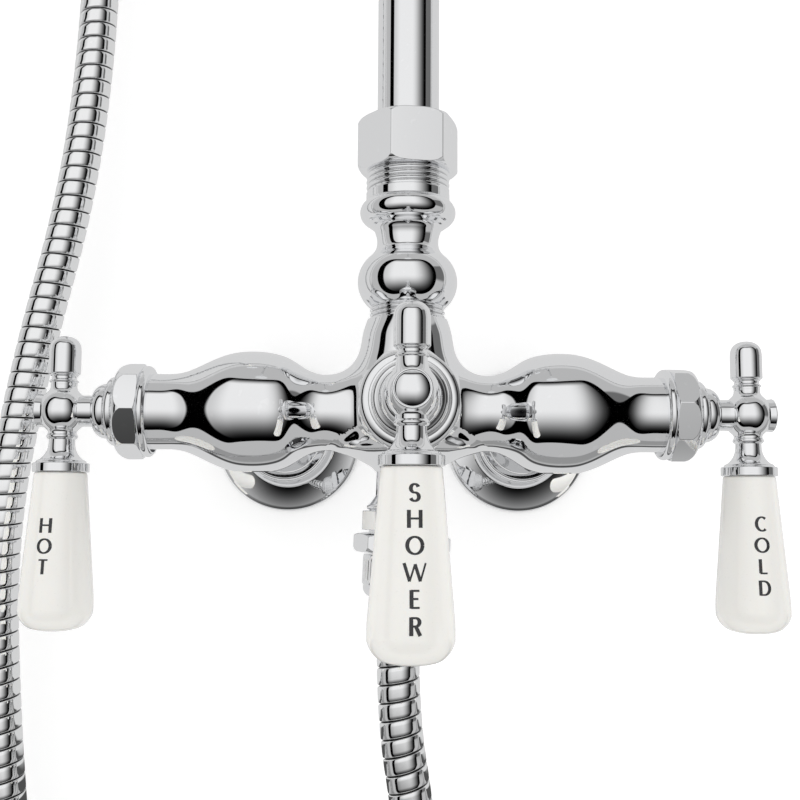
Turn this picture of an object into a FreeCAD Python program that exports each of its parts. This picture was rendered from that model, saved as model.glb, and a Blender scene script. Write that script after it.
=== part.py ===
import FreeCAD, Part
import math
import os

# Exposed wall-mounted shower system: a chromed two-lever valve with a front diverter lever,
# a riser to a shower arm and head, and a hand shower on a metal hose.
# Frame: origin on the wall midway between the supply inlets, +X to the right,
# +Y into the wall, +Z up. Sizes are in millimetres.

os.makedirs("parts", exist_ok=True)
V = FreeCAD.Vector
X, Y, Z = V(1, 0, 0), V(0, 1, 0), V(0, 0, 1)

# Place of the valve on the wall
INLET_SPACING = 85.7
AXIS_OUT = 65.0
AXIS_RISE = 4.5

# Clearances
SLIP = 0.05
GAP = 0.25
SHADOW = 0.4

# Flat spot where a dome meets its own axis
POLE_R = 0.4

# Valve body
NECK_R = 11.75
BULB_R = 19.1
BULB_X = 48.4
BULB_ARC_R = 28.5
INNER_NECK_X = 23.8
OUTER_NECK_X = 70.6
ARM_END = 79.8
FRONT_END = 33.4
THREAD_R = 11.0
THREAD_LENGTH = 8.0
CORE_R = 15.5
COLUMN_ROOT_R = 14.4
COLUMN_R = 12.8
COLUMN_TOP = 29.8
COLUMN_TAPER = 4.5
COLUMN_BLEND_R = 11.0
FRONT_BLEND_R = 4.5
OUTLET_NECK_R = 8.8
OUTLET_NECK_LENGTH = 18.0
OUTLET_BLEND_R = 6.0
WEB_DEPTH = 0.42
CHAMBER_R = 8.75
CHAMBER_DEPTH = 16.5
WATERWAY_R = 4.75

# Bonnet nut with its cone nose, the same on all three valves
NUT_SIDES = 8
NUT_CORNER_R = 15.1
NUT_LENGTH = 10.6
NUT_RING_R = 14.35
NUT_RING = 2.6
NUT_SHOULDER = 4.2
NOSE_R = 11.8
NOSE_TIP_R = 6.6
NOSE_LENGTH = 7.6
GLAND_R = 6.0
GLAND_DEPTH = 5.4
NUT_TURN = {"hot": -1.0, "cold": 35.0, "diverter": 27.0}

# Stem and cartridge
STEM_R = 3.0
STEM_FOOT_R = 6.0
CARTRIDGE_R = 8.6
CARTRIDGE_FLANGE_R = 10.9
CARTRIDGE_FLANGE = 1.6
DISC_R = 7.2
DISC_THICKNESS = 2.9
DISC_PORT_R = 1.9
DISC_PORT_OFFSET = 4.0
CARTRIDGE_WINDOW_R = 1.1
SEAL_THICKNESS = 2.0

# Lever handle
HUB_OUT = 28.2
BALL_R = 7.15
HUB_NECK_R = 4.9
FINIAL_R = 4.9
FINIAL_START = 11.6
FINIAL_TOP = 23.5
WAIST_R = 3.75
HUB_RING_R = 4.6
CAP_R = 8.6
CAP_TOP = 16.4
CAP_BOTTOM = 19.2
ROD_R = 2.4
PORCELAIN_TOP_R = 7.95
PORCELAIN_R = 11.3
PORCELAIN_WIDE_AT = 60.0
PORCELAIN_BOTTOM = 68.8
BUTTON_R = 5.1
BUTTON_REACH = 8.8
BUTTON_SHANK_R = 1.9

# Wall unions
UNION_R = 11.0
UNION_STUB = 25.0
UNION_NUT_R = 15.6
UNION_NUT_LENGTH = 13.0
UNION_SIDES = 6
TAIL_R = 8.3
TAIL_WALL_R = 12.6
TAIL_THREAD_R = 9.6
TAIL_THREAD_LENGTH = 12.0
TAIL_STEP = 20.0
UNION_WASHER = 2.0
FLANGE_R = 26.6
FLANGE_DEPTH = 16.5
FLANGE_NECK_R = 15.6
FLANGE_WALL = 1.6

# Riser
ADAPTOR_NECK_R = 11.9
KNOB_R = 15.9
KNOB_ARC_R = 10.5
KNOB_Z = 42.0
VASE_R = 9.8
VASE_FLARE = 0.65
VASE_Z = 54.9
VASE_HALF = 3.0
BEAD_R = 15.3
BEAD_ARC_R = 4.4
BEAD_Z = 64.3
ADAPTOR_COLLAR_R = 13.4
COLLAR_END = 70.9
ADAPTOR_THREAD_R = 13.2
ADAPTOR_TOP = 85.0
RISER_NUT_BOTTOM = 77.6
RISER_NUT_LENGTH = 17.4
RISER_NUT_R = 16.55
RISER_NUT_TURN = 10.3
RISER_R = 10.0
RISER_WALL = 1.2
RISER_TOP = 560.0
SOCKET_DEPTH = 9.0

# Lower outlet
OUTLET_TUBE_R = 8.6
OUTLET_CONE_Z = -26.4
OUTLET_BEAD_R = 11.4
OUTLET_BODY_R = 12.9
OUTLET_BODY_Z = -30.6
OUTLET_NUT_Z = -37.2
OUTLET_NUT_R = 15.9
OUTLET_END_Z = -44.0
OUTLET_BORE_R = 6.0
HOSE_WASHER = 0.8
HOSE_NUT_R = 11.8
HOSE_NUT_LENGTH = 13.0

# Hose
HOSE_D = 13.2
HOSE_BORE_R = 4.2
HOSE_RIBS = 120
RIB_DEPTH = 0.9

# Hand shower and its cradle
CLAMP_R = 15.0
CLAMP_HEIGHT = 24.0
SCREW_R = 3.0
FORK_BAR_R = 5.0
FORK_HEIGHT = 12.0
HOLD_ABOVE_GRIP = 11.5
HOLD_R = 9.0
MOUTH_REACH = 30.0
CRADLE_KNOB_R = 9.0
CRADLE_KNOB_LENGTH = 10.7
HAND_FOOT = V(-103.0, 27.0, 318.0)
HAND_LEAN = V(0.12, -0.30, 1.0)
GRIP_R = 13.5
GRIP_LOW = 22.0
GRIP_LENGTH = 78.0
HAND_NECK = 34.0
HAND_HEAD_R = 30.0
HAND_HEAD_FORWARD = 13.5

# Wall brace
BRACE_Z = 500.0
BRACE_R = 5.0
BRACE_RING_R = 13.5
BRACE_RING_HEIGHT = 16.0
BRACE_FLANGE_R = 21.0

# Shower arm and head
ARM_BEND_R = 55.0
ARM_REACH = 190.0
ARM_DROP_ANGLE = 60.0
ARM_TIP = 22.0
COUPLING_R = 14.5
COUPLING_LENGTH = 26.0
HEAD_BALL_R = 9.0
HEAD_R = 62.0
HEAD_DEPTH = 34.0
HEAD_COLLAR_R = 14.0


def at(x, y, z):
    """A point given from the centre of the valve."""
    return V(x, y - AXIS_OUT, z + AXIS_RISE)


def save(name, shape):
    """Write one piece, or one group of equal pieces, under its name."""
    shape.exportStep("parts/" + name + ".step")


def placed(shape, origin, direction):
    """The shape with its own Z axis laid along a direction from an origin."""
    shape.Placement = FreeCAD.Placement(origin, FreeCAD.Rotation(Z, direction))
    return shape


def section(steps):
    """A closed face from (radius, station) steps; four numbers are an arc by a middle point."""
    edges = []
    first = V(steps[0][0], 0, steps[0][1])
    last = first
    for step in steps[1:]:
        end = V(step[-2], 0, step[-1])
        if len(step) == 4:
            edges.append(Part.Arc(last, V(step[0], 0, step[1]), end).toShape())
        else:
            edges.append(Part.makeLine(last, end))
        last = end
    if last != first:
        edges.append(Part.makeLine(last, first))
    return Part.Face(Part.Wire(edges))


def turned(steps, origin=V(0, 0, 0), direction=Z):
    """A turned solid: the closed outline spun about its own axis, then laid along a direction."""
    return placed(section(steps).revolve(V(0, 0, 0), Z, 360), origin, direction)


def rod(radius, low, high, origin=V(0, 0, 0), direction=Z):
    """A round bar between two stations along a direction."""
    return placed(Part.makeCylinder(radius, high - low, V(0, 0, low)), origin, direction)


def ring(outer, inner, low, high, origin=V(0, 0, 0), direction=Z):
    """A plain ring between two stations along a direction."""
    steps = [(inner, low), (outer, low), (outer, high), (inner, high)]
    return turned(steps, origin, direction)


def prism(sides, corner_r, low, high, turn=0.0, origin=V(0, 0, 0), direction=Z):
    """A regular prism between two stations along a direction."""
    corners = []
    for i in range(sides + 1):
        angle = math.radians(turn + 360.0 * i / sides)
        corners.append(V(corner_r * math.cos(angle), corner_r * math.sin(angle), low))
    solid = Part.Face(Part.makePolygon(corners)).extrude(V(0, 0, high - low))
    return placed(solid, origin, direction)


def nut_blank(sides, corner_r, low, high, chamfer, turn, origin=V(0, 0, 0), direction=Z):
    """A prism whose corners are turned down at both ends."""
    face_r = corner_r * math.cos(math.pi / sides) - 0.35
    barrel = [(0, low), (face_r, low), (corner_r + 0.1, low + chamfer)]
    barrel += [(corner_r + 0.1, high - chamfer), (face_r, high), (0, high)]
    return prism(sides, corner_r, low, high, turn, origin, direction).common(
        turned(barrel, origin, direction)
    )


def knob_half_height(peak_r, arc_r, end_r):
    """How far from its middle a turned knob of this outline arc has shrunk to a given radius."""
    return math.sqrt(arc_r**2 - (end_r - peak_r + arc_r) ** 2)


# Valve body


def arm_outline():
    """One arm from the middle to its threaded end: a bulb that flows into a neck on each side."""
    bulb_centre = V(BULB_R - BULB_ARC_R, 0, BULB_X)
    steps = [(0, 0), (NECK_R, 0)]
    sides = []
    for neck_x in (INNER_NECK_X, OUTER_NECK_X):
        reach = abs(neck_x - BULB_X)
        rise = NECK_R - bulb_centre.x
        hollow_r = (reach**2 + rise**2 - BULB_ARC_R**2) / (2 * (BULB_ARC_R - rise))
        hollow_centre = V(NECK_R + hollow_r, 0, neck_x)
        line = hollow_centre - bulb_centre
        meet = bulb_centre + line * (BULB_ARC_R / line.Length)
        half = math.asin(abs(meet.z - neck_x) / hollow_r) / 2
        side = 1 if neck_x < BULB_X else -1
        middle = V(
            hollow_centre.x - hollow_r * math.cos(half), 0, neck_x + side * hollow_r * math.sin(half)
        )
        sides.append((middle, meet))
    (in_middle, in_meet), (out_middle, out_meet) = sides
    steps.append((NECK_R, INNER_NECK_X))
    steps.append((in_middle.x, in_middle.z, in_meet.x, in_meet.z))
    steps.append((BULB_R, BULB_X, out_meet.x, out_meet.z))
    steps.append((out_middle.x, out_middle.z, NECK_R, OUTER_NECK_X))
    steps += [(NECK_R, ARM_END), (THREAD_R, ARM_END)]
    steps += [(THREAD_R, ARM_END + THREAD_LENGTH), (0, ARM_END + THREAD_LENGTH)]
    return steps


def flare(neck_r, blend_r, base, depth, direction):
    """The hollow-curved foot where a neck grows out of the body, flattened across the arms."""
    root = 0.5 * base
    bend = blend_r * (1 - math.sqrt(0.5))
    steps = [(0, root), (neck_r + blend_r, root), (neck_r + blend_r, base)]
    steps.append((neck_r + bend, base + bend, neck_r, base + blend_r))
    steps.append((0, base + blend_r))
    squash = FreeCAD.Matrix()
    squash.scale(1.0, depth, 1.0)
    foot = section(steps).revolve(V(0, 0, 0), Z, 360).transformGeometry(squash)
    return placed(foot, at(0, 0, 0), direction)


def valve_body():
    """The casting: arms, centre, columns, front boss and wall stubs, with its waterways."""
    centre = at(0, 0, 0)
    arms = [turned(arm_outline(), centre, X), turned(arm_outline(), centre, -X)]
    core = Part.makeSphere(CORE_R, centre)
    lip = 0.8
    column = [(0, 0), (COLUMN_ROOT_R, 0), (COLUMN_ROOT_R, COLUMN_TOP - COLUMN_TAPER)]
    column.append((COLUMN_R, COLUMN_TOP - lip))
    column += [(COLUMN_R - 0.25, COLUMN_TOP - 0.25, COLUMN_R - lip, COLUMN_TOP), (0, COLUMN_TOP)]
    boss = [(0, 0), (NECK_R, 0), (NECK_R, FRONT_END), (THREAD_R, FRONT_END)]
    boss += [(THREAD_R, FRONT_END + THREAD_LENGTH), (0, FRONT_END + THREAD_LENGTH)]
    pieces = [core, turned(column, centre), turned(boss, centre, -Y)]
    pieces.append(rod(OUTLET_NECK_R, 0, OUTLET_NECK_LENGTH, centre, -Z))
    pieces.append(flare(COLUMN_ROOT_R, COLUMN_BLEND_R, NECK_R, WEB_DEPTH, Z))
    pieces.append(flare(OUTLET_NECK_R, OUTLET_BLEND_R, NECK_R, WEB_DEPTH * 1.4, -Z))
    pieces.append(flare(NECK_R, FRONT_BLEND_R, NECK_R, 1.0, -Y))
    for side in (-1, 1):
        pieces.append(rod(UNION_R, 0, UNION_STUB, at(side * BULB_X, 0, 0), Y))
    body = arms[0].fuse([arms[1]] + pieces)
    return body.cut(waterways())


def waterways():
    """The hollows of the casting, as solids to take away."""
    centre = at(0, 0, 0)
    hollows = []
    seat_x = ARM_END - CHAMBER_DEPTH
    for side in (-1, 1):
        outward = X * side
        far = ARM_END + THREAD_LENGTH + 1
        hollows.append(rod(CHAMBER_R, seat_x, far, centre, outward))
        hollows.append(rod(WATERWAY_R, BULB_X - WATERWAY_R, seat_x + 1, centre, outward))
        hollows.append(rod(WATERWAY_R, 0, UNION_STUB + 1, at(side * BULB_X, 0, 0), Y))
        start = at(side * (seat_x + 2), 0, 7.6)
        end = at(0, 7.0, 4.0)
        hollows.append(rod(1.8, 0, (end - start).Length, start, end - start))
    hollows.append(rod(CHAMBER_R, FRONT_END - CHAMBER_DEPTH, FRONT_END + 20, centre, -Y))
    hollows.append(rod(CHAMBER_R - 2, -9.0, FRONT_END - CHAMBER_DEPTH + 1, centre, -Y))
    hollows.append(rod(8.8, 12.0, COLUMN_TOP + 1, centre, Z))
    hollows.append(rod(OUTLET_BORE_R, 0, 12.5, centre, Z))
    hollows.append(rod(OUTLET_BORE_R, 0, OUTLET_NECK_LENGTH + 1, centre, -Z))
    return hollows[0].fuse(hollows[1:])


# The three valves


def bonnet_nut(name, origin, direction):
    """Octagonal nut with a ring foot, a round shoulder and a hollow-sided cone nose."""
    nose_end = NUT_LENGTH + NOSE_LENGTH
    foot_top = NUT_RING - 0.6
    reach = NUT_CORNER_R - NOSE_R
    share = math.sqrt(0.5)
    barrel = [(0, foot_top), (NUT_CORNER_R, foot_top), (NUT_CORNER_R, NUT_LENGTH - NUT_SHOULDER)]
    barrel.append((NOSE_R + share * reach, NUT_LENGTH - (1 - share) * NUT_SHOULDER, NOSE_R, NUT_LENGTH))
    barrel.append((0, NUT_LENGTH))
    blank = prism(NUT_SIDES, NUT_CORNER_R, foot_top, NUT_LENGTH, NUT_TURN[name]).common(turned(barrel))
    foot = [(0, 0), (NUT_RING_R - 0.9, 0), (NUT_RING_R - 0.2, 0.3, NUT_RING_R, 1.1)]
    foot += [(NUT_RING_R, NUT_RING - 0.5), (NUT_RING_R - 0.5, NUT_RING), (0, NUT_RING)]
    step = NOSE_R - 0.3
    hollow_r = 0.5 * (step + NOSE_TIP_R) - 0.35
    nose = [(0, NUT_LENGTH - 1), (step, NUT_LENGTH - 1), (step, NUT_LENGTH + 0.3)]
    nose.append((hollow_r, NUT_LENGTH + 0.45 * NOSE_LENGTH, NOSE_TIP_R, nose_end - 0.9))
    nose += [(NOSE_TIP_R, nose_end), (0, nose_end)]
    thread_end = THREAD_LENGTH + CARTRIDGE_FLANGE
    bore = [(0, -1), (THREAD_R + SLIP, -1), (THREAD_R + SLIP, thread_end), (GLAND_R, thread_end)]
    bore += [(GLAND_R, thread_end + GLAND_DEPTH), (STEM_R + SLIP, thread_end + GLAND_DEPTH)]
    bore += [(STEM_R + SLIP, nose_end + 1), (0, nose_end + 1)]
    solid = blank.fuse([turned(foot), turned(nose)]).cut(turned(bore))
    return placed(solid, origin, direction)


def packing_ring(origin, direction):
    """Soft ring in the nut's gland, round the stem."""
    low = THREAD_LENGTH + CARTRIDGE_FLANGE
    return ring(GLAND_R - SLIP, STEM_R + SLIP, low, low + GLAND_DEPTH - SHADOW, origin, direction)


def cartridge(origin, direction):
    """Brass cartridge: a flange under the nut, a stem bore, and a cup with side windows."""
    low = SEAL_THICKNESS - CHAMBER_DEPTH
    cup = low + 2 * DISC_THICKNESS + 2.6
    top = THREAD_LENGTH + CARTRIDGE_FLANGE
    steps = [(DISC_R + SLIP, low), (CARTRIDGE_R, low), (CARTRIDGE_R, THREAD_LENGTH)]
    steps += [(CARTRIDGE_FLANGE_R, THREAD_LENGTH), (CARTRIDGE_FLANGE_R, top), (STEM_R + SLIP, top)]
    steps += [(STEM_R + SLIP, cup), (DISC_R + SLIP, cup)]
    body = turned(steps)
    window_z = low + 2 * DISC_THICKNESS + 1.3
    for way in (Y, -Y):
        body = body.cut(rod(CARTRIDGE_WINDOW_R, DISC_R - 1.5, CARTRIDGE_R + 1, V(0, 0, window_z), way))
    return placed(body, origin, direction)


def disc(low, origin, direction, turn):
    """Ceramic disc with two ports, turned about its axis."""
    solid = rod(DISC_R, low, low + DISC_THICKNESS)
    for side in (-1, 1):
        angle = math.radians(turn)
        offset = V(math.cos(angle), math.sin(angle), 0) * (side * DISC_PORT_OFFSET)
        solid = solid.cut(rod(DISC_PORT_R, low - 1, low + DISC_THICKNESS + 1, offset))
    return placed(solid, origin, direction)


def stem(origin, direction):
    """Stem with its drive foot in the cartridge and a tapped outer end inside the ball."""
    foot = SEAL_THICKNESS - CHAMBER_DEPTH + 2 * DISC_THICKNESS + 2 * SLIP
    end = HUB_OUT - 1.0
    solid = rod(STEM_R, foot, end).fuse(rod(STEM_FOOT_R, foot, foot + 2.2))
    return placed(solid.cut(rod(BUTTON_SHANK_R, end - 8.0, end + 1)), origin, direction)


def lever_outline():
    """Outline of the hub's upright part from the foot of its rod to the top of the finial."""
    joint_r = 4.1
    joint_z = math.sqrt(BALL_R**2 - joint_r**2)
    return [
        (0, -PORCELAIN_BOTTOM + 6.8),
        (ROD_R, -PORCELAIN_BOTTOM + 6.8),
        (ROD_R, -CAP_BOTTOM),
        (CAP_R - 0.3, -CAP_BOTTOM),
        (CAP_R, -CAP_BOTTOM + 0.3),
        (CAP_R, -CAP_TOP - 0.3),
        (CAP_R - 0.3, -CAP_TOP),
        (CAP_R - 2.1, -CAP_TOP + 0.3),
        (CAP_R - 2.5, -CAP_TOP + 1.1),
        (WAIST_R + 0.7, -CAP_TOP + 2.6, WAIST_R, -CAP_TOP + 5.0),
        (WAIST_R + 0.15, -8.9, HUB_RING_R - 0.2, -8.2),
        (HUB_RING_R, -7.7, HUB_RING_R - 0.2, -7.2),
        (joint_r, -joint_z),
        (BALL_R, 0, joint_r, joint_z),
        (WAIST_R, joint_z + 1.5, WAIST_R + 0.2, FINIAL_START - 0.6),
        (FINIAL_R - 0.2, FINIAL_START),
        (FINIAL_R, FINIAL_START + 0.4),
        (FINIAL_R, FINIAL_TOP - 3.6),
        (FINIAL_R - 1.3, FINIAL_TOP - 1.05, POLE_R, FINIAL_TOP),
        (0, FINIAL_TOP),
    ]


def lever_hub(origin, direction):
    """Ball, finial, neck, cap disc and handle rod in one turned piece, with a neck to the stem."""
    ball = origin + direction * HUB_OUT
    low = NUT_LENGTH + NOSE_LENGTH + GAP
    collar = [(0, low), (HUB_NECK_R - 0.3, low), (HUB_NECK_R, low + 0.3)]
    collar += [(HUB_NECK_R, HUB_OUT - 4.0), (0, HUB_OUT - 4.0)]
    solid = turned(lever_outline(), ball).fuse(turned(collar, origin, direction))
    seat = HUB_OUT + math.sqrt(BALL_R**2 - BUTTON_R**2)
    solid = solid.cut(rod(BUTTON_R + 1, seat, seat + BALL_R, origin, direction))
    solid = solid.cut(rod(STEM_R, low - 1, HUB_OUT - 1.0, origin, direction))
    return solid.cut(rod(BUTTON_SHANK_R, HUB_OUT - 2.0, seat + 1, origin, direction))


def porcelain_handle(origin, direction):
    """Tapered porcelain grip, bored for the hub's rod, rounded at its foot."""
    ball = origin + direction * HUB_OUT
    wide = PORCELAIN_WIDE_AT
    low = PORCELAIN_BOTTOM
    steps = [
        (ROD_R + SLIP, -CAP_BOTTOM),
        (PORCELAIN_TOP_R - 0.8, -CAP_BOTTOM),
        (PORCELAIN_TOP_R - 0.2, -CAP_BOTTOM - 0.3, PORCELAIN_TOP_R, -CAP_BOTTOM - 0.9),
        (PORCELAIN_R, -wide),
        (PORCELAIN_R - 0.75, -wide - 4.6, PORCELAIN_R - 3.2, -low + 1.1),
        (PORCELAIN_R - 6.8, -low + 0.12, POLE_R, -low),
        (0, -low),
        (0, -low + 6.5),
        (ROD_R + SLIP, -low + 6.5),
    ]
    return turned(steps, ball)


def screw_button(origin, direction):
    """Domed screw that holds the hub on the stem."""
    seat = HUB_OUT + math.sqrt(BALL_R**2 - BUTTON_R**2)
    top = HUB_OUT + BUTTON_REACH
    end = HUB_OUT - 1.0
    steps = [(0, end - 7.0), (BUTTON_SHANK_R, end - 7.0), (BUTTON_SHANK_R, seat), (BUTTON_R, seat)]
    steps += [(BUTTON_R, seat + 0.7), (BUTTON_R * 0.62, top - 0.75, POLE_R, top), (0, top)]
    return turned(steps, origin, direction)


def make_valves():
    """The same set of pieces on both arms and on the front boss."""
    valves = {"hot": (-X, ARM_END), "cold": (X, ARM_END), "diverter": (-Y, FRONT_END)}
    seal_low = -CHAMBER_DEPTH
    disc_low = seal_low + SEAL_THICKNESS
    for name, (direction, end) in valves.items():
        origin = at(0, 0, 0) + direction * end
        save(name + "_bonnet_nut", bonnet_nut(name, origin, direction))
        save(name + "_packing", packing_ring(origin, direction))
        save(name + "_cartridge", cartridge(origin, direction))
        save(name + "_seat_seal", ring(CARTRIDGE_R - 0.2, 5.2, seal_low, disc_low, origin, direction))
        save(name + "_fixed_disc", disc(disc_low, origin, direction, 0))
        turning_low = disc_low + DISC_THICKNESS + SLIP
        save(name + "_turning_disc", disc(turning_low, origin, direction, 90))
        save(name + "_stem", stem(origin, direction))
        save(name + "_lever_hub", lever_hub(origin, direction))
        save(name + "_porcelain", porcelain_handle(origin, direction))
        save(name + "_screw_button", screw_button(origin, direction))


# Wall unions


def make_wall_unions():
    """Union nut, washer, eccentric tail and wall flange behind each bulb."""
    for name, side in (("hot", -1), ("cold", 1)):
        front = at(side * BULB_X, 0, 0)
        wall = V(side * INLET_SPACING / 2, 0, 0)
        face = UNION_STUB
        washer = ring(UNION_R - 0.6, WATERWAY_R, face, face + UNION_WASHER, front, Y)
        save(name + "_union_washer", washer)
        tail_start = face + UNION_WASHER
        lip = tail_start + 2.0
        nut_start = face - 7.0
        nut_end = nut_start + UNION_NUT_LENGTH
        nut = nut_blank(UNION_SIDES, UNION_NUT_R, nut_start, nut_end, 1.6, 30, front, Y)
        nut = nut.cut(rod(UNION_R + SLIP, nut_start - 1, lip, front, Y))
        nut = nut.cut(rod(TAIL_R + SLIP, lip - 1, nut_end + 1, front, Y))
        save(name + "_union_nut", nut)
        step = AXIS_OUT - TAIL_STEP
        tail = rod(UNION_R - SLIP, tail_start, lip, front, Y)
        tail = tail.fuse(rod(TAIL_R, lip, step + 3.0, front, Y))
        tail = tail.fuse(rod(TAIL_WALL_R, step - AXIS_OUT, 0, wall, Y))
        tail = tail.cut(rod(WATERWAY_R, tail_start - 1, step + 4.0, front, Y))
        tail = tail.cut(rod(TAIL_THREAD_R, -TAIL_THREAD_LENGTH, 1, wall, Y))
        tail = tail.cut(rod(TAIL_THREAD_R - 1.5, -TAIL_STEP + 2.0, 0, wall, Y))
        save(name + "_union_tail", tail)
        save(name + "_wall_flange", wall_flange(wall))


def wall_flange(wall):
    """Thin bell-shaped flange that slides on the tail and stands on the wall."""
    t = FLANGE_WALL
    top = FLANGE_DEPTH
    hole = TAIL_WALL_R + SLIP
    steps = [
        (FLANGE_R - 2.0 * t, 0),
        (FLANGE_R - 0.4, 0),
        (FLANGE_R, 0.9, FLANGE_R - 0.5, 1.9),
        (FLANGE_R - 1.3, 2.3),
        (FLANGE_NECK_R + 3.2, top * 0.42, FLANGE_NECK_R, top - 1.2),
        (FLANGE_NECK_R - 0.4, top - 0.3, FLANGE_NECK_R - 1.2, top),
        (hole, top),
        (hole, top - 2.0),
        (FLANGE_NECK_R - t, top - 2.4),
        (FLANGE_NECK_R + 3.0 - t, top * 0.36, FLANGE_R - 2.0 * t, 0.8),
    ]
    return turned(steps, wall, -Y)


# Riser


def riser_adaptor():
    """Turned adaptor: shank, ball knob, vase neck, bead, collar and thread, bored right through."""
    half = knob_half_height(KNOB_R, KNOB_ARC_R, ADAPTOR_NECK_R)
    bead_low = knob_half_height(BEAD_R, BEAD_ARC_R, ADAPTOR_NECK_R)
    bead_high = knob_half_height(BEAD_R, BEAD_ARC_R, ADAPTOR_COLLAR_R)
    shank = 8.75
    low = COLUMN_TOP - 11.0
    mouth = VASE_R + VASE_FLARE
    steps = [
        (OUTLET_BORE_R, low),
        (shank, low),
        (shank, COLUMN_TOP),
        (ADAPTOR_NECK_R, COLUMN_TOP),
        (ADAPTOR_NECK_R, KNOB_Z - half),
        (KNOB_R, KNOB_Z, ADAPTOR_NECK_R, KNOB_Z + half),
        (mouth, VASE_Z - VASE_HALF),
        (VASE_R, VASE_Z, mouth, VASE_Z + VASE_HALF),
        (ADAPTOR_NECK_R, BEAD_Z - bead_low),
        (BEAD_R, BEAD_Z, ADAPTOR_COLLAR_R, BEAD_Z + bead_high),
        (ADAPTOR_COLLAR_R, COLLAR_END),
        (ADAPTOR_THREAD_R, COLLAR_END + 0.2),
        (ADAPTOR_THREAD_R, ADAPTOR_TOP),
        (RISER_R + SLIP, ADAPTOR_TOP),
        (RISER_R + SLIP, ADAPTOR_TOP - SOCKET_DEPTH),
        (OUTLET_BORE_R, ADAPTOR_TOP - SOCKET_DEPTH),
    ]
    return turned(steps, at(0, 0, 0))


def make_riser():
    """Adaptor, union nut, ferrule and the riser tube."""
    centre = at(0, 0, 0)
    save("riser_adaptor", riser_adaptor())
    ferrule_low = ADAPTOR_TOP
    ferrule_high = ferrule_low + 4.0
    steps = [(RISER_R + SLIP, ferrule_low), (RISER_R + 2.3, ferrule_low)]
    steps += [(RISER_R + 2.3, ferrule_high - 1), (RISER_R + SLIP, ferrule_high)]
    save("riser_ferrule", turned(steps, centre))
    nut_top = RISER_NUT_BOTTOM + RISER_NUT_LENGTH
    nut = nut_blank(6, RISER_NUT_R, RISER_NUT_BOTTOM, nut_top, 1.5, RISER_NUT_TURN, centre, Z)
    nut = nut.cut(rod(ADAPTOR_THREAD_R + SLIP, RISER_NUT_BOTTOM - 1, ferrule_high + SHADOW, centre))
    nut = nut.cut(rod(RISER_R + SLIP, ferrule_high, nut_top + 1, centre))
    save("riser_union_nut", nut)
    tube_low = ADAPTOR_TOP - SOCKET_DEPTH
    save("riser_tube", ring(RISER_R, RISER_R - RISER_WALL, tube_low, RISER_TOP, centre))


# Lower outlet and hose


def make_outlet():
    """Adaptor below the body, coupling nut, washer and the lower hose nut."""
    centre = at(0, 0, 0)
    steps = [
        (OUTLET_BORE_R - 1.2, -OUTLET_NECK_LENGTH + 6.0),
        (OUTLET_BORE_R - SLIP, -OUTLET_NECK_LENGTH + 6.0),
        (OUTLET_BORE_R - SLIP, -OUTLET_NECK_LENGTH),
        (OUTLET_TUBE_R, -OUTLET_NECK_LENGTH),
        (OUTLET_TUBE_R, OUTLET_CONE_Z),
        (OUTLET_TUBE_R + 1.9, OUTLET_CONE_Z - 2.2),
        (OUTLET_BEAD_R - 0.5, OUTLET_CONE_Z - 2.5),
        (OUTLET_BEAD_R, OUTLET_CONE_Z - 3.3, OUTLET_BEAD_R - 0.5, OUTLET_BODY_Z + 0.1),
        (OUTLET_BEAD_R - 1.0, OUTLET_BODY_Z),
        (OUTLET_BEAD_R - 1.0, OUTLET_END_Z),
        (OUTLET_BORE_R - 1.2, OUTLET_END_Z),
    ]
    adaptor = turned(steps, centre)
    body_face = nut_blank(
        NUT_SIDES, OUTLET_BODY_R, -OUTLET_BODY_Z, -OUTLET_NUT_Z, 0.8, 22.5, centre, -Z
    )
    body_face = body_face.cut(rod(OUTLET_BORE_R - 1.2, -OUTLET_BODY_Z - 1, -OUTLET_NUT_Z + 1, centre, -Z))
    adaptor = adaptor.fuse(body_face)
    save("outlet_adaptor", adaptor)
    nut = nut_blank(6, OUTLET_NUT_R, -OUTLET_NUT_Z, -OUTLET_END_Z, 1.6, 0, centre, -Z)
    nut = nut.cut(rod(OUTLET_BEAD_R - 1.0 + SLIP, -OUTLET_NUT_Z - 1, -OUTLET_END_Z + 1, centre, -Z))
    save("outlet_coupling_nut", nut)
    washer_end = -OUTLET_END_Z + HOSE_WASHER
    save("hose_washer", ring(10.6, 5.0, -OUTLET_END_Z, washer_end, centre, -Z))
    save("lower_hose_nut", hose_nut(centre, -Z, washer_end))


def hose_nut(origin, direction, low):
    """Barrel nut with a rounded foot; the hose ends against its inner wall."""
    high = low + HOSE_NUT_LENGTH
    r = HOSE_NUT_R
    steps = [(HOSE_BORE_R, low), (r - 0.6, low), (r, low + 0.6), (r, high - 3.2)]
    steps += [(r - 0.5, high - 1.3, r - 2.4, high), (HOSE_BORE_R, high)]
    return turned(steps, origin, direction)


HOSE_ROUTE = [
    (0, 0, -90),
    (2, 1, -130),
    (6, 4, -180),
    (10, 9, -240),
    (12, 14, -303),
    (12.5, 18, -365),
    (-7.5, 22, -400),
    (-43, 26, -421),
    (-83.5, 29, -421),
    (-119, 32, -401),
    (-139.5, 35, -366),
    (-140, 36, -312),
    (-136, 36, -240),
    (-137, 35, -165),
    (-140, 35, -105),
    (-137, 35, -40),
    (-127, 35, 22),
    (-114, 35, 80),
    (-106, 35, 140),
    (-106, 38, 205),
]


def hose_points():
    """The route's points, with both ends on the nuts' axes."""
    start = at(0, 0, OUTLET_END_Z - HOSE_WASHER - HOSE_NUT_LENGTH)
    lean = hand_direction()
    end = hand_foot() - lean * HOSE_NUT_LENGTH
    points = [start] + [at(*p) for p in HOSE_ROUTE]
    points.append(end - lean * 55.0)
    points.append(end)
    return points


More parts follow.
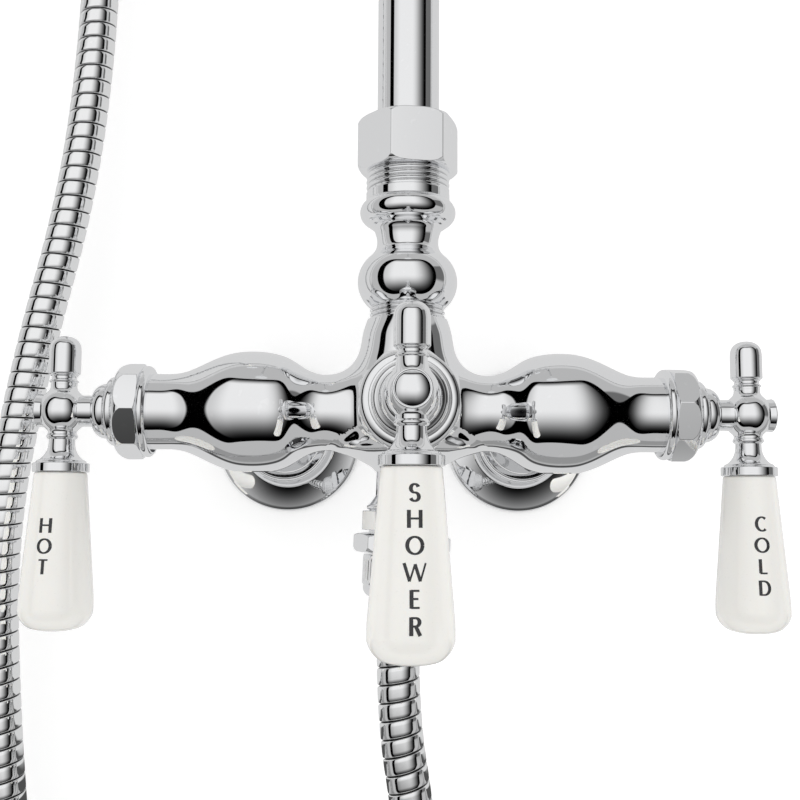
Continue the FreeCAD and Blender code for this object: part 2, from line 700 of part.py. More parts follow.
def hose_path(points):
    """Straight runs joined by arcs that touch them, as (kind, data) pieces with their lengths."""
    cuts = []
    for before, corner, after in zip(points, points[1:], points[2:]):
        run_in = corner - before
        run_out = after - corner
        turn = run_in.getAngle(run_out)
        reach = 0.45 * min(run_in.Length, run_out.Length)
        radius = reach / math.tan(turn / 2)
        cuts.append((corner, run_in.normalize(), run_out.normalize(), reach, radius, turn))
    pieces = []
    last = points[0]
    for corner, way_in, way_out, reach, radius, turn in cuts:
        start = corner - way_in * reach
        pieces.append(("run", last, start, (start - last).Length))
        inward = (way_out - way_in).normalize()
        centre = corner + inward * (radius / math.cos(turn / 2))
        pieces.append(("arc", start, centre, radius * turn, way_in, turn, radius))
        last = corner + way_out * reach
    pieces.append(("run", last, points[-1], (points[-1] - last).Length))
    return pieces, [c[4] for c in cuts]


def spot(pieces, station):
    """The point and the direction at a distance along the hose."""
    for piece in pieces:
        length = piece[3]
        if station <= length or piece is pieces[-1]:
            break
        station -= length
    if piece[0] == "run":
        way = (piece[2] - piece[1]).normalize()
        return piece[1] + way * station, way
    _, start, centre, _, way_in, _, radius = piece
    angle = station / radius
    out = (start - centre).normalize()
    point = centre + out * (radius * math.cos(angle)) + way_in * (radius * math.sin(angle))
    return point, way_in * math.cos(angle) - out * math.sin(angle)


def hose_circle(pieces, station, radius):
    """A circle round the hose whose seam keeps to one side."""
    centre, way = spot(pieces, station)
    steady = Y.cross(way).normalize()
    circle = Part.Circle(centre, way, radius)
    circle.XAxis = steady
    return Part.Wire(circle.toShape())


def hose():
    """Metal hose with rolled ribs and its bore, drawn through circles along the route."""
    pieces, radii = hose_path(hose_points())
    total = sum(piece[3] for piece in pieces)
    crest = HOSE_D / 2
    plain = HOSE_D
    pitch = (total - 2 * plain) / HOSE_RIBS
    print("hose length %.1f, radii from %.0f: %s" % (total, min(radii), [round(r) for r in radii]))
    outer = [hose_circle(pieces, 0, crest), hose_circle(pieces, plain - 0.06 * pitch, crest)]
    inner = [hose_circle(pieces, -1.0, HOSE_BORE_R)]
    shares = ((0.0, crest - RIB_DEPTH), (0.12, crest), (0.82, crest), (0.94, crest - RIB_DEPTH))
    for i in range(HOSE_RIBS):
        start = plain + i * pitch
        for share, radius in shares:
            outer.append(hose_circle(pieces, start + share * pitch, radius))
        if i % 2 == 0:
            inner.append(hose_circle(pieces, start, HOSE_BORE_R))
    outer.append(hose_circle(pieces, total - plain, crest))
    outer.append(hose_circle(pieces, total, crest))
    inner.append(hose_circle(pieces, total + 1.0, HOSE_BORE_R))
    solid = Part.makeLoft(outer, True, True).cut(Part.makeLoft(inner, True, True))
    plain_volume = math.pi * (crest**2 - HOSE_BORE_R**2) * total
    print("hose volume %.0f, plain tube %.0f" % (solid.Volume, plain_volume))
    return solid


# Hand shower and cradle


def hand_direction():
    """The way the hand shower leans, from its foot to its head."""
    return V(HAND_LEAN).normalize()


def hand_foot():
    """The end face of the hand shower's inlet."""
    return at(HAND_FOOT.x, HAND_FOOT.y, HAND_FOOT.z)


def make_hand_shower():
    """Upper hose nut, brass handle with its porcelain grip, and the round spray head."""
    foot = hand_foot()
    lean = hand_direction()
    save("upper_hose_nut", hose_nut(foot, -lean, 0))
    grip_low = GRIP_LOW
    grip_high = grip_low + GRIP_LENGTH
    core_r = 7.0
    neck_end = grip_high + HAND_NECK
    steps = [
        (4.5, 0), (10.2, 0), (10.2, 9.0), (11.6, 10.0), (11.6, 13.0), (9.4, 15.0), (9.4, 19.0),
        (12.0, 20.5), (12.0, grip_low), (core_r, grip_low), (core_r, grip_high), (11.5, grip_high),
        (11.5, grip_high + 2.0), (8.6, grip_high + 4.0), (8.6, neck_end), (4.5, neck_end),
    ]
    handle = turned(steps, foot, lean)
    middle = 0.5 * (grip_low + grip_high)
    grip = [(core_r + SLIP, grip_low), (10.8, grip_low), (GRIP_R, middle, 10.2, grip_high)]
    grip.append((core_r + SLIP, grip_high))
    save("hand_grip", turned(grip, foot, lean))
    neck = foot + lean * neck_end
    face_way = V(0.10, -0.86, -0.5).normalize()
    head_centre = neck + lean * (HAND_HEAD_R * 0.62) + face_way * HAND_HEAD_FORWARD
    r = HAND_HEAD_R
    bell = [(0, -13.0), (4.0, -13.0), (r * 0.72, -6.5, r, 2.0), (r, 8.0), (0, 8.0)]
    cavity = [(0, -9.6), (8.0, -9.0), (r * 0.66, -3.4, r - 2.0, 3.0), (r - 2.0, 9.0), (0, 9.0)]
    head = turned(bell, head_centre, face_way).fuse(rod(8.6, neck_end - 2.0, neck_end + 12.0, foot, lean))
    head = head.cut(turned(cavity, head_centre, face_way))
    head = head.fuse(handle.fuse(rod(6.0, neck_end - 6.0, neck_end, foot, lean)))
    head = head.cut(rod(4.5, -1, neck_end + 8.0, foot, lean))
    save("hand_shower_body", head)
    face = rod(r - 2.0 - SLIP, 4.5, 8.6, head_centre, face_way)
    face = spray_holes(face, head_centre, face_way, (6.0, 12.5, 19.0), 0.9)
    save("hand_spray_face", face)


def spray_holes(face, centre, way, rings, hole_r):
    """Rings of jets through a spray face."""
    spin = FreeCAD.Rotation(Z, way)
    jets = []
    for ring_r in rings:
        count = 6 * round(ring_r / 6.3)
        for i in range(count):
            angle = 2 * math.pi * i / count
            offset = spin.multVec(V(ring_r * math.cos(angle), ring_r * math.sin(angle), 0))
            jets.append(rod(hole_r, 0, 30.0, centre + offset, way))
    return face.cut(jets)


def make_cradle():
    """Clamp round the riser with its screw, and a fork that holds the hand shower's neck."""
    lean = hand_direction()
    hold = hand_foot() + lean * (GRIP_LOW + GRIP_LENGTH + HOLD_ABOVE_GRIP)
    riser_spot = V(0, at(0, 0, 0).y, hold.z)
    low = -CLAMP_HEIGHT / 2
    high = CLAMP_HEIGHT / 2
    steps = [(RISER_R + SLIP, low), (CLAMP_R - 1, low), (CLAMP_R, low + 1), (CLAMP_R, high - 1)]
    steps += [(CLAMP_R - 1, high), (RISER_R + SLIP, high)]
    clamp = turned(steps, riser_spot)
    clamp = clamp.fuse(rod(6.5, RISER_R + 1.5, CLAMP_R + 5.0, riser_spot, X))
    clamp = clamp.cut(rod(SCREW_R + SLIP, RISER_R, CLAMP_R + 6.0, riser_spot, X))
    start = CLAMP_R + 5.0 + GAP
    top = start + CRADLE_KNOB_LENGTH
    knob = [(0, RISER_R + SLIP), (SCREW_R, RISER_R + SLIP), (SCREW_R, start)]
    knob += [(CRADLE_KNOB_R - 1.0, start), (CRADLE_KNOB_R, start + 1.3), (CRADLE_KNOB_R, top - 4.0)]
    knob += [(CRADLE_KNOB_R - 1.4, top - 1.4, POLE_R, top), (0, top)]
    save("cradle_screw", turned(knob, riser_spot, X))
    across = hold - riser_spot
    bar = rod(FORK_BAR_R, CLAMP_R - 0.6, across.Length - HOLD_R - 2.0, riser_spot, across)
    fork = ring(HOLD_R + 4.0, HOLD_R, -FORK_HEIGHT / 2, FORK_HEIGHT / 2, hold, lean)
    fork = fork.fuse(bar)
    fork = fork.cut(turned([(0, low), (CLAMP_R, low), (CLAMP_R, high), (0, high)], riser_spot))
    corner = V(0, -HOLD_R + 0.5, -FORK_HEIGHT / 2 - 4.0)
    mouth = Part.makeBox(MOUTH_REACH, 2 * HOLD_R - 1.0, FORK_HEIGHT + 8.0, corner)
    open_way = V(-0.9, -0.6, 0)
    turn = math.degrees(math.atan2(open_way.y, open_way.x))
    mouth.Placement = FreeCAD.Placement(
        hold, FreeCAD.Rotation(Z, lean).multiply(FreeCAD.Rotation(Z, turn))
    )
    save("cradle", clamp.fuse(fork.cut(mouth)))


# Wall brace


def make_brace():
    """Ring on the riser, a bar to the wall, and a small flange on the wall."""
    spot_on_riser = at(0, 0, BRACE_Z)
    half = BRACE_RING_HEIGHT / 2
    steps = [(RISER_R + SLIP, -half), (BRACE_RING_R - 1, -half), (BRACE_RING_R, -half + 1)]
    steps += [(BRACE_RING_R, half - 1), (BRACE_RING_R - 1, half), (RISER_R + SLIP, half)]
    bar = [(0, RISER_R + 2.0), (BRACE_R + 1.5, RISER_R + 2.0), (BRACE_R + 1.5, BRACE_RING_R + 4.0)]
    bar += [(BRACE_R, BRACE_RING_R + 6.0), (BRACE_R, AXIS_OUT), (0, AXIS_OUT)]
    brace = turned(steps, spot_on_riser).fuse(turned(bar, spot_on_riser, Y))
    wall = V(0, 0, spot_on_riser.z)
    flange = [(0, 0), (BRACE_FLANGE_R, 0), (BRACE_FLANGE_R, 1.6)]
    flange += [(BRACE_R + 6.0, 4.0, BRACE_R + 2.5, 11.0), (0, 11.0)]
    save("wall_brace", brace.fuse(turned(flange, wall, -Y)))


# Shower arm and head


def arm_path():
    """Centre line of the arm: up, over towards the front, and down to the head."""
    up = RISER_TOP + COUPLING_LENGTH / 2 + 4.0
    r = ARM_BEND_R
    drop = math.radians(ARM_DROP_ANGLE)
    a = at(0, 0, RISER_TOP)
    b = at(0, 0, up)
    c = at(0, -r, up + r)
    c_mid = at(0, -r * (1 - math.sqrt(0.5)), up + r * math.sqrt(0.5))
    d = at(0, -ARM_REACH, up + r)
    e = d + V(0, -r * math.sin(drop), -r * (1 - math.cos(drop)))
    e_mid = d + V(0, -r * math.sin(drop / 2), -r * (1 - math.cos(drop / 2)))
    way = V(0, -math.cos(drop), -math.sin(drop))
    f = e + way * ARM_TIP
    edges = [Part.makeLine(a, b), Part.Arc(b, c_mid, c).toShape(), Part.makeLine(c, d)]
    edges += [Part.Arc(d, e_mid, e).toShape(), Part.makeLine(e, f)]
    return Part.Wire(edges), f, way


def make_arm_and_head():
    """Coupling, bent arm, ball nipple, head shell with its socket collar, and the spray face."""
    path, tip, way = arm_path()
    start = at(0, 0, RISER_TOP)
    solids = []
    for radius in (RISER_R, RISER_R - RISER_WALL):
        circle = Part.Wire(Part.Circle(start, Z, radius).toShape())
        solids.append(path.makePipeShell([circle], True, False))
    save("shower_arm", solids[0].cut(solids[1]))
    half = COUPLING_LENGTH / 2
    outer = [(RISER_R + SLIP, -half), (12.4, -half), (COUPLING_R, -half + 3.0)]
    outer += [(COUPLING_R, -4.5), (COUPLING_R + 1.2, -3.5), (COUPLING_R + 1.2, 3.5), (COUPLING_R, 4.5)]
    outer += [(COUPLING_R, half - 3.0), (12.4, half), (RISER_R + SLIP, half)]
    save("arm_coupling", turned(outer, start))
    ball = tip + way * (HEAD_BALL_R + 8.0)
    plug_r = RISER_R - RISER_WALL - SLIP
    neck_z = -math.sqrt(HEAD_BALL_R**2 - 5.0**2)
    nipple = [(3.2, -HEAD_BALL_R - 18.0), (plug_r, -HEAD_BALL_R - 18.0), (plug_r, -HEAD_BALL_R - 8.0)]
    nipple += [(RISER_R + 2.4, -HEAD_BALL_R - 8.0), (RISER_R + 2.4, -HEAD_BALL_R - 3.4)]
    nipple += [(5.0, -HEAD_BALL_R - 2.6), (5.0, neck_z)]
    tail_z = math.sqrt(HEAD_BALL_R**2 - 3.2**2)
    nipple += [(HEAD_BALL_R, 0, 3.2, tail_z)]
    save("arm_ball", turned(nipple, ball, way))
    r = HEAD_R
    depth = HEAD_DEPTH
    mouth_z = -5.0
    gap = 0.06
    socket = HEAD_BALL_R + gap
    mouth = math.sqrt(socket**2 - mouth_z**2)
    shell = [
        (mouth, mouth_z),
        (HEAD_COLLAR_R - 1.0, mouth_z),
        (HEAD_COLLAR_R, mouth_z + 1.0),
        (HEAD_COLLAR_R, 7.0),
        (HEAD_COLLAR_R + 1.0, 11.0, HEAD_COLLAR_R + 9.0, 15.0),
        (r * 0.72, 19.0, r, depth - 6.0),
        (r + 0.6, depth - 4.0, r, depth),
        (r - 2.5, depth),
        (r - 2.5, depth - 5.0),
        (r * 0.68, 22.0, 9.5, 17.0),
        (4.6, 12.0),
        (4.6, math.sqrt(socket**2 - 4.6**2)),
        (socket, 0, mouth, mouth_z),
    ]
    save("head_shell", turned(shell, ball, way))
    face = rod(r - 2.5 - SLIP, depth - 4.0, depth + 0.8, ball, way)
    save("head_spray_face", spray_holes(face, ball, way, (8.0, 19.0, 30.0, 41.0, 52.0), 1.1))


def main():
    save("valve_body", valve_body())
    make_valves()
    make_wall_unions()
    make_riser()
    make_outlet()
    save("hose", hose())
    make_hand_shower()
    make_cradle()
    make_brace()
    make_arm_and_head()


main()
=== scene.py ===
"""Looks of an exposed wall-mounted shower system in chrome and porcelain.

Sizes are in millimetres from the centre of the valve, as a maker would draw them. Meshes are in
metres in the part's own frame, where the wall is the plane Y = 0 and +Z is up.
"""

from __future__ import annotations

import functools
import logging
import math
from collections.abc import Callable, Mapping, Sequence
from dataclasses import dataclass
from enum import Enum

import bmesh
import bpy
import numpy as np
from mathutils import Matrix, Vector


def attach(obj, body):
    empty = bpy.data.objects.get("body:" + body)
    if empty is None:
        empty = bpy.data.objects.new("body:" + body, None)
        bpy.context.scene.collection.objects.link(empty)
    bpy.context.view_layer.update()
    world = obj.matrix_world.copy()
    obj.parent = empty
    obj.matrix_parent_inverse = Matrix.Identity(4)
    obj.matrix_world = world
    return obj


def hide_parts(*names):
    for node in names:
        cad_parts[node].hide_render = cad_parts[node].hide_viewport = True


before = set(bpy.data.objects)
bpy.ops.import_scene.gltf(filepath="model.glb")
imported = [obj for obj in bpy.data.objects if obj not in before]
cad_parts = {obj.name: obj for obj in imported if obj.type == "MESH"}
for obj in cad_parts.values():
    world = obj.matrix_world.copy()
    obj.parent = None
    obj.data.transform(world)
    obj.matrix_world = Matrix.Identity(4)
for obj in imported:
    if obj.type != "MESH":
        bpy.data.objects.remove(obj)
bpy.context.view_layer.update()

LOG = logging.getLogger("shower")
MM = 0.001
VALVE = np.array([0.0, -65.0, 4.5])

Array = np.ndarray
Socket = bpy.types.NodeSocket
Face = tuple[int, ...]
Triple = tuple[float, float, float]
Table = tuple[tuple[float, float], ...]


# Drawing of turned, prismatic and wound surfaces


class Outline:
    """The outline of a turned piece as straight and round stretches with softened corners."""

    corner_share = 0.45  # how much of a stretch a softened corner may take
    arc_step = math.radians(5)
    same = 1e-6  # points that lie closer than this are one

    def __init__(self, radius: float, station: float) -> None:
        """Start the outline.

        Args:
            radius: distance from the axis, in millimetres.
            station: place along the axis, in millimetres.
        """
        self.corners = [np.array([radius, station], float)]
        self.middles: list[Array | None] = []
        self.rounds = [0.0]

    def line(self, radius: float, station: float, soft: float = 0.2) -> Outline:
        """Draw a straight stretch.

        Args:
            radius: radius of the end point.
            station: station of the end point.
            soft: how much the corner at the end point is softened.

        Returns:
            The outline itself, so that calls can be chained.
        """
        self.corners.append(np.array([radius, station], float))
        self.middles.append(None)
        self.rounds.append(soft)
        return self

    def arc(
        self, mid_radius: float, mid_station: float, radius: float, station: float, soft: float = 0.0
    ) -> Outline:
        """Draw a round stretch through a middle point; the rest is as in line."""
        self.line(radius, station, soft).middles[-1] = np.array([mid_radius, mid_station], float)
        return self

    def stretch(self, index: int) -> tuple[float, Callable[[float], tuple[Array, Array]], float]:
        """Describe one stretch.

        Args:
            index: which stretch.

        Returns:
            Its length, a function from a share of it to a point and a tangent, and its turn.
        """
        start, end, middle = self.corners[index], self.corners[index + 1], self.middles[index]
        if middle is None:
            way = end - start
            length = float(np.hypot(*way))
            return length, lambda t: (start + way * t, way / length), 0.0
        (ax, ay), (bx, by), (cx, cy) = start, middle, end
        d = 2 * (ax * (by - cy) + bx * (cy - ay) + cx * (ay - by))
        sa, sb, sc = ax * ax + ay * ay, bx * bx + by * by, cx * cx + cy * cy
        centre_x = (sa * (by - cy) + sb * (cy - ay) + sc * (ay - by)) / d
        centre_y = (sa * (cx - bx) + sb * (ax - cx) + sc * (bx - ax)) / d
        centre = np.array([centre_x, centre_y])
        radius = float(np.hypot(*(start - centre)))
        first, mid, last = (math.atan2(p[1] - centre_y, p[0] - centre_x) for p in (start, middle, end))
        turn = (last - first) % (2 * math.pi)
        if (mid - first) % (2 * math.pi) > turn:
            turn -= 2 * math.pi

        def spot(t: float) -> tuple[Array, Array]:
            """Point and tangent at a share of the arc."""
            out = np.array([math.cos(first + turn * t), math.sin(first + turn * t)])
            return centre + radius * out, np.array([-out[1], out[0]]) * math.copysign(1, turn)

        return radius * abs(turn), spot, abs(turn)

    def trace(self) -> tuple[Array, Array]:
        """Walk the outline.

        Returns:
            Points and outward normals, one row each.
        """
        points: list[Array] = []
        tangents: list[Array] = []
        stretches = [self.stretch(i) for i in range(len(self.middles))]
        last = len(stretches) - 1
        for i, (length, spot, turn) in enumerate(stretches):
            cut_in = min(self.rounds[i], self.corner_share * length) if i else 0.0
            cut_out = min(self.rounds[i + 1], self.corner_share * length) if i < last else 0.0
            steps = max(1, math.ceil(turn / self.arc_step))
            for share in np.linspace(cut_in / length, 1 - cut_out / length, steps + 1):
                point, tangent = spot(float(share))
                points.append(point)
                tangents.append(tangent)
            if cut_out > 0:
                next_length, next_spot, _ = stretches[i + 1]
                goal, _ = next_spot(min(self.rounds[i + 1], self.corner_share * next_length) / next_length)
                corner, start = self.corners[i + 1], points[-1]
                for t in (0.25, 0.5, 0.75):
                    points.append((1 - t) ** 2 * start + 2 * t * (1 - t) * corner + t * t * goal)
                    way = (1 - t) * (corner - start) + t * (goal - corner)
                    tangents.append(way / np.hypot(*way))
        kept = [0]
        for i in range(1, len(points)):
            if np.hypot(*(points[i] - points[kept[-1]])) > self.same:
                kept.append(i)
        path, ways = np.array(points)[kept], np.array(tangents)[kept]
        r, s = path.T
        side = 1.0 if float(np.sum(r * np.roll(s, -1) - np.roll(r, -1) * s)) > 0 else -1.0
        return path, np.column_stack([ways[:, 1], -ways[:, 0]]) * side


@dataclass(frozen=True)
class Place:
    """Where a piece's own frame lies: its origin and the way of its Z axis."""

    origin: Triple = (0.0, 0.0, 0.0)
    way: Triple = (0.0, 0.0, 1.0)

    def spin(self) -> Array:
        """Rotation from the piece's frame to the part's frame."""
        turn = Vector((0.0, 0.0, 1.0)).rotation_difference(Vector(self.way))
        return np.array(turn.to_matrix())

    def points(self, local: Array) -> Array:
        """Points in metres in the part's frame."""
        return (local @ self.spin().T + np.array(self.origin) + VALVE) * MM

    def moved(self, distance: float) -> Place:
        """The same frame, further along its own axis."""
        shift = np.array(self.origin) + np.array(Vector(self.way).normalized()) * distance
        return Place(tuple(float(v) for v in shift), self.way)


def follow(places: Array, stations: Array, rows: Array) -> Array:
    """Coordinates at places along a line whose rows lie at known stations."""
    return np.stack([np.interp(places, stations, column) for column in rows.T], axis=-1)


def weld(mesh: bpy.types.Mesh, distance: float) -> None:
    """Join points that lie close together, and drop faces with no area.

    Args:
        mesh: the mesh to clean.
        distance: how close, in metres.
    """
    work = bmesh.new()
    work.from_mesh(mesh)
    bmesh.ops.remove_doubles(work, verts=work.verts, dist=distance)
    bmesh.ops.dissolve_degenerate(work, edges=work.edges, dist=distance)
    work.to_mesh(mesh)
    work.free()


class Skin:
    """The surfaces of one piece while it is being made."""

    def __init__(self, name: str) -> None:
        """Start an empty piece.

        Args:
            name: the piece's name.
        """
        self.name = name
        self.points: list[Array] = []
        self.normals: list[Array] = []
        self.faces: list[Face] = []
        self.shades: list[Array] = []
        self.count = 0

    def add(self, points: Array, normals: Array, faces: Sequence[Face], shade: Array | None = None) -> Skin:
        """Add a surface whose faces count from its own first point.

        Args:
            points: its points, in metres.
            normals: outward normals, as many.
            faces: its faces, by point.
            shade: how deep in a groove each point lies, from 0 to 1; the plated finish paints shade there.

        Returns:
            The skin itself, so that calls can be chained.
        """
        self.shades.append(np.zeros(len(points)) if shade is None else shade)
        self.faces += [tuple(self.count + i for i in face) for face in faces]
        self.points.append(points)
        self.normals.append(normals)
        self.count += len(points)
        return self

    def grid(
        self, points: Array, normals: Array, place: Place, closed: bool = False, climb: int = 0,
        shade: Array | None = None,
    ) -> Skin:
        """Add rows of points whose columns run round.

        Args:
            points: rows x columns x 3, in the piece's frame, in millimetres.
            normals: outward normals, as many.
            place: where the piece's frame lies.
            closed: whether the last row joins the first.
            climb: how many rows a turn climbs, on a wound surface.
            shade: how deep in a groove each row lies, from 0 to 1; the plated finish paints shade there.

        Returns:
            The skin itself, so that calls can be chained.
        """
        rows, columns = points.shape[:2]
        index = np.arange(rows * columns).reshape(rows, columns)
        for row in (0, rows - 1):
            if np.ptp(points[row], axis=0).max() < 1e-9:
                index[row] = index[row, 0]
        faces: list[Face] = []
        for i in range(rows if closed else rows - 1):
            low, high = index[i], index[(i + 1) % rows]
            quads = [(low[j], low[j + 1], high[j + 1], high[j]) for j in range(columns - 1)]
            if i + 1 + climb < rows or closed:
                start, end = index[(i + climb) % rows][0], index[(i + 1 + climb) % rows][0]
                quads.append((low[-1], start, end, high[-1]))
            for quad in quads:
                face = tuple(dict.fromkeys(int(k) for k in quad))
                if len(face) > 2:
                    faces.append(face)
        flat, flat_normals = points.reshape(-1, 3), normals.reshape(-1, 3)
        a, b, c = faces[len(faces) // 2][:3]
        if np.cross(flat[b] - flat[a], flat[c] - flat[a]) @ flat_normals[a] < 0:
            faces = [face[::-1] for face in faces]
        used = np.unique(np.concatenate([np.array(face) for face in faces]))
        renumber = np.full(len(flat), -1)
        renumber[used] = np.arange(len(used))
        faces = [tuple(int(renumber[k]) for k in face) for face in faces]
        depth = np.repeat(np.zeros(rows) if shade is None else shade, columns)[used]
        return self.add(place.points(flat[used]), flat_normals[used] @ place.spin().T, faces, depth)

    def turn(
        self, outline: Outline, place: Place, columns: int = 144, closed: bool = False,
        radius_of: Callable[[Array, Array], Array] | None = None,
    ) -> Skin:
        """Add a turned surface.

        Args:
            outline: the outline to spin.
            place: where its axis lies.
            columns: how many steps there are round the axis.
            closed: whether the outline's end joins its start.
            radius_of: a change of radius by angle and station, such as a knurl.

        Returns:
            The skin itself, so that calls can be chained.
        """
        path, ways = outline.trace()
        angles = np.linspace(0, 2 * math.pi, columns, endpoint=False)
        radius, station, along = (np.repeat(a[:, None], columns, axis=1) for a in (*path.T, ways[:, 1]))
        around = np.repeat(angles[None, :], len(path), axis=0)
        if radius_of is not None:
            radius = radius + radius_of(around, station)
        cos, sin = np.cos(around), np.sin(around)
        points = np.stack([radius * cos, radius * sin, station], axis=2)
        normals = np.stack([ways[:, :1] * cos, ways[:, :1] * sin, along], axis=2)
        poles = path[:, 0] < Outline.same
        normals[poles] = np.array([0.0, 0.0, 1.0]) * np.sign(ways[poles, 1])[:, None, None]
        return self.grid(points, normals, place, closed)

    def build(
        self, body: str, finish: Finish, *replaces: str, own_normals: bool = True, merge: float = 0.0
    ) -> bpy.types.Object:
        """Make the mesh object and hand it to the frame.

        Args:
            body: the body that it rides on.
            finish: what it is made of.
            replaces: the solids that it stands for.
            own_normals: whether the surface's own normals shade it.
            merge: points closer than this, in metres, become one.

        Returns:
            The new object.
        """
        mesh = bpy.data.meshes.new(self.name)
        mesh.from_pydata(np.concatenate(self.points).tolist(), [], self.faces)
        # groove depth, which the plated finish turns into painted shade
        groove = mesh.attributes.new("groove", "FLOAT", "POINT")
        groove.data.foreach_set("value", np.concatenate(self.shades))
        if merge > 0:
            weld(mesh, merge)
        mesh.shade_smooth()
        if own_normals:
            mesh.normals_split_custom_set_from_vertices(np.concatenate(self.normals).tolist())
        piece = bpy.data.objects.new(self.name, mesh)
        bpy.context.scene.collection.objects.link(piece)
        mesh.materials.append(finish.material())
        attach(piece, body)
        if replaces:
            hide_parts(*replaces)
        LOG.info("%s: %d faces on %s", self.name, len(mesh.polygons), body)
        return piece


@dataclass(frozen=True)
class NutForm:
    """A nut blank: a prism with soft corners, whose ends are turned down by a round chamfer."""

    sides: int
    corner: float
    low: float
    high: float
    chamfer_low: float
    chamfer_high: float
    bore: float
    turn: float = 0.0
    end_low: float = 0.0
    end_high: float = 0.0
    corner_soft: float = 0.45
    edge_soft: float = 0.22
    face_edge: float = 0.3
    face_inset: float = 0.15

    flat_points = 13
    corner_shares = (-0.6, -0.2, 0.2, 0.6)
    chamfer_shares = (0.0, 0.12, 0.3, 0.5, 0.7, 0.88, 1.0)

    def ring(self) -> tuple[Array, Array, Array]:
        """Points round the prism.

        Returns:
            The angle, the distance from the axis, and the angle of the normal at each point.
        """
        half = math.pi / self.sides
        flat, length = self.corner * math.cos(half), self.corner * math.sin(half)
        reach = self.corner_soft * math.tan(half)
        centre = self.corner - self.corner_soft / math.cos(half)
        spots = []
        for i in range(self.sides):
            middle = math.radians(self.turn) + (2 * i + 1) * half
            for across in np.linspace(-(length - reach), length - reach, self.flat_points):
                spots.append((middle + math.atan2(across, flat), math.hypot(flat, across), middle))
            tip = middle + half
            for share in self.corner_shares:
                way = tip + share * half
                x = centre + self.corner_soft * math.cos(way - tip)
                y = self.corner_soft * math.sin(way - tip)
                spots.append((tip + math.atan2(y, x), math.hypot(x, y), way))
        return tuple(np.array(spots).T)

    def end(self, radii: Array, station: float, depth: float, sign: float, face: float) -> list[tuple]:
        """Rows of a round chamfer, from the end face out to the flats.

        Args:
            radii: distance of the prism's points from the axis.
            station: where the end face lies.
            depth: how deep the chamfer goes along the axis.
            sign: 1 at the low end, -1 at the high end.
            face: radius of the end face.

        Returns:
            Radius, station, and the outward and lengthwise parts of the normal, for each row.
        """
        rise = self.corner - face
        top = np.arcsin(np.clip((radii - face) / rise, 0.0, 1.0))
        rows = []
        for share in self.chamfer_shares:
            angle = top * share
            tilt = np.arctan2(depth * np.sin(angle), rise * np.cos(angle) + 1e-9)
            height = station + sign * depth * (1 - np.cos(angle))
            rows.append((face + rise * np.sin(angle), height, np.sin(tilt), -sign * np.cos(tilt)))
        return rows

    def draw(self, skin: Skin, place: Place) -> Skin:
        """Add the nut's outer surface and its bore.

        Args:
            skin: the piece that it is a part of.
            place: where its axis lies.

        Returns:
            The skin, so that calls can be chained.
        """
        angles, radii, ways = self.ring()
        inner = self.corner * math.cos(math.pi / self.sides) - self.face_inset
        one = np.ones_like(angles)
        low_face, high_face = self.end_low or inner, self.end_high or inner
        low = self.end(radii, self.low, self.chamfer_low, 1.0, low_face)
        high = self.end(radii, self.high, self.chamfer_high, -1.0, high_face)
        rows = [(r * one, self.low * one, 0 * one, -one) for r in (self.bore, low_face - self.face_edge)]
        rows += low
        rows.append((radii, low[-1][1] + self.edge_soft, one, 0 * one))
        rows.append((radii, high[-1][1] - self.edge_soft, one, 0 * one))
        rows += high[::-1]
        rows += [(r * one, self.high * one, 0 * one, one) for r in (high_face - self.face_edge, self.bore)]
        cos, sin = np.cos(angles), np.sin(angles)
        points = np.stack([np.stack([r * cos, r * sin, s], axis=1) for r, s, _, _ in rows])
        normals = []
        for i, (_, _, out, along) in enumerate(rows):
            on_flats = 1 + len(low) < i < len(rows) - 2 - len(high)
            spread = ways if on_flats else angles
            normals.append(np.stack([out * np.cos(spread), out * np.sin(spread), along], axis=1))
        return skin.grid(points, np.stack(normals), place, closed=True)


class Spline:
    """A smooth curve of one value against another, drawn through a few points."""

    def __init__(self, knots: Table) -> None:
        """Fit a natural cubic.

        Args:
            knots: (place, value) points.
        """
        self.x, self.y = np.array(knots, float).T
        h = np.diff(self.x)
        matrix, right = np.eye(len(self.x)), np.zeros(len(self.x))
        for i in range(1, len(self.x) - 1):
            matrix[i, i - 1 : i + 2] = h[i - 1], 2 * (h[i - 1] + h[i]), h[i]
            right[i] = 6 * ((self.y[i + 1] - self.y[i]) / h[i] - (self.y[i] - self.y[i - 1]) / h[i - 1])
        self.bend = np.linalg.solve(matrix, right)

    def at(self, place: Array) -> tuple[Array, Array]:
        """Read the curve, held level outside its ends.

        Args:
            place: where to read it.

        Returns:
            Value and slope there.
        """
        inside = np.clip(place, self.x[0], self.x[-1])
        i = np.clip(np.searchsorted(self.x, inside) - 1, 0, len(self.x) - 2)
        h = self.x[i + 1] - self.x[i]
        a, b = (self.x[i + 1] - inside) / h, (inside - self.x[i]) / h
        value = a * self.y[i] + b * self.y[i + 1]
        value += ((a**3 - a) * self.bend[i] + (b**3 - b) * self.bend[i + 1]) * h * h / 6
        slope = (self.y[i + 1] - self.y[i]) / h
        slope += ((3 * b * b - 1) * self.bend[i + 1] - (3 * a * a - 1) * self.bend[i]) * h / 6
        return value, np.where(inside == place, slope, 0.0)


def melt(a: Array, b: Array, reach: float) -> Array:
    """Union of two distance fields that flow into each other over a reach."""
    share = np.clip(0.5 + 0.5 * (b - a) / reach, 0.0, 1.0)
    return b * (1 - share) + a * share - reach * share * (1 - share)


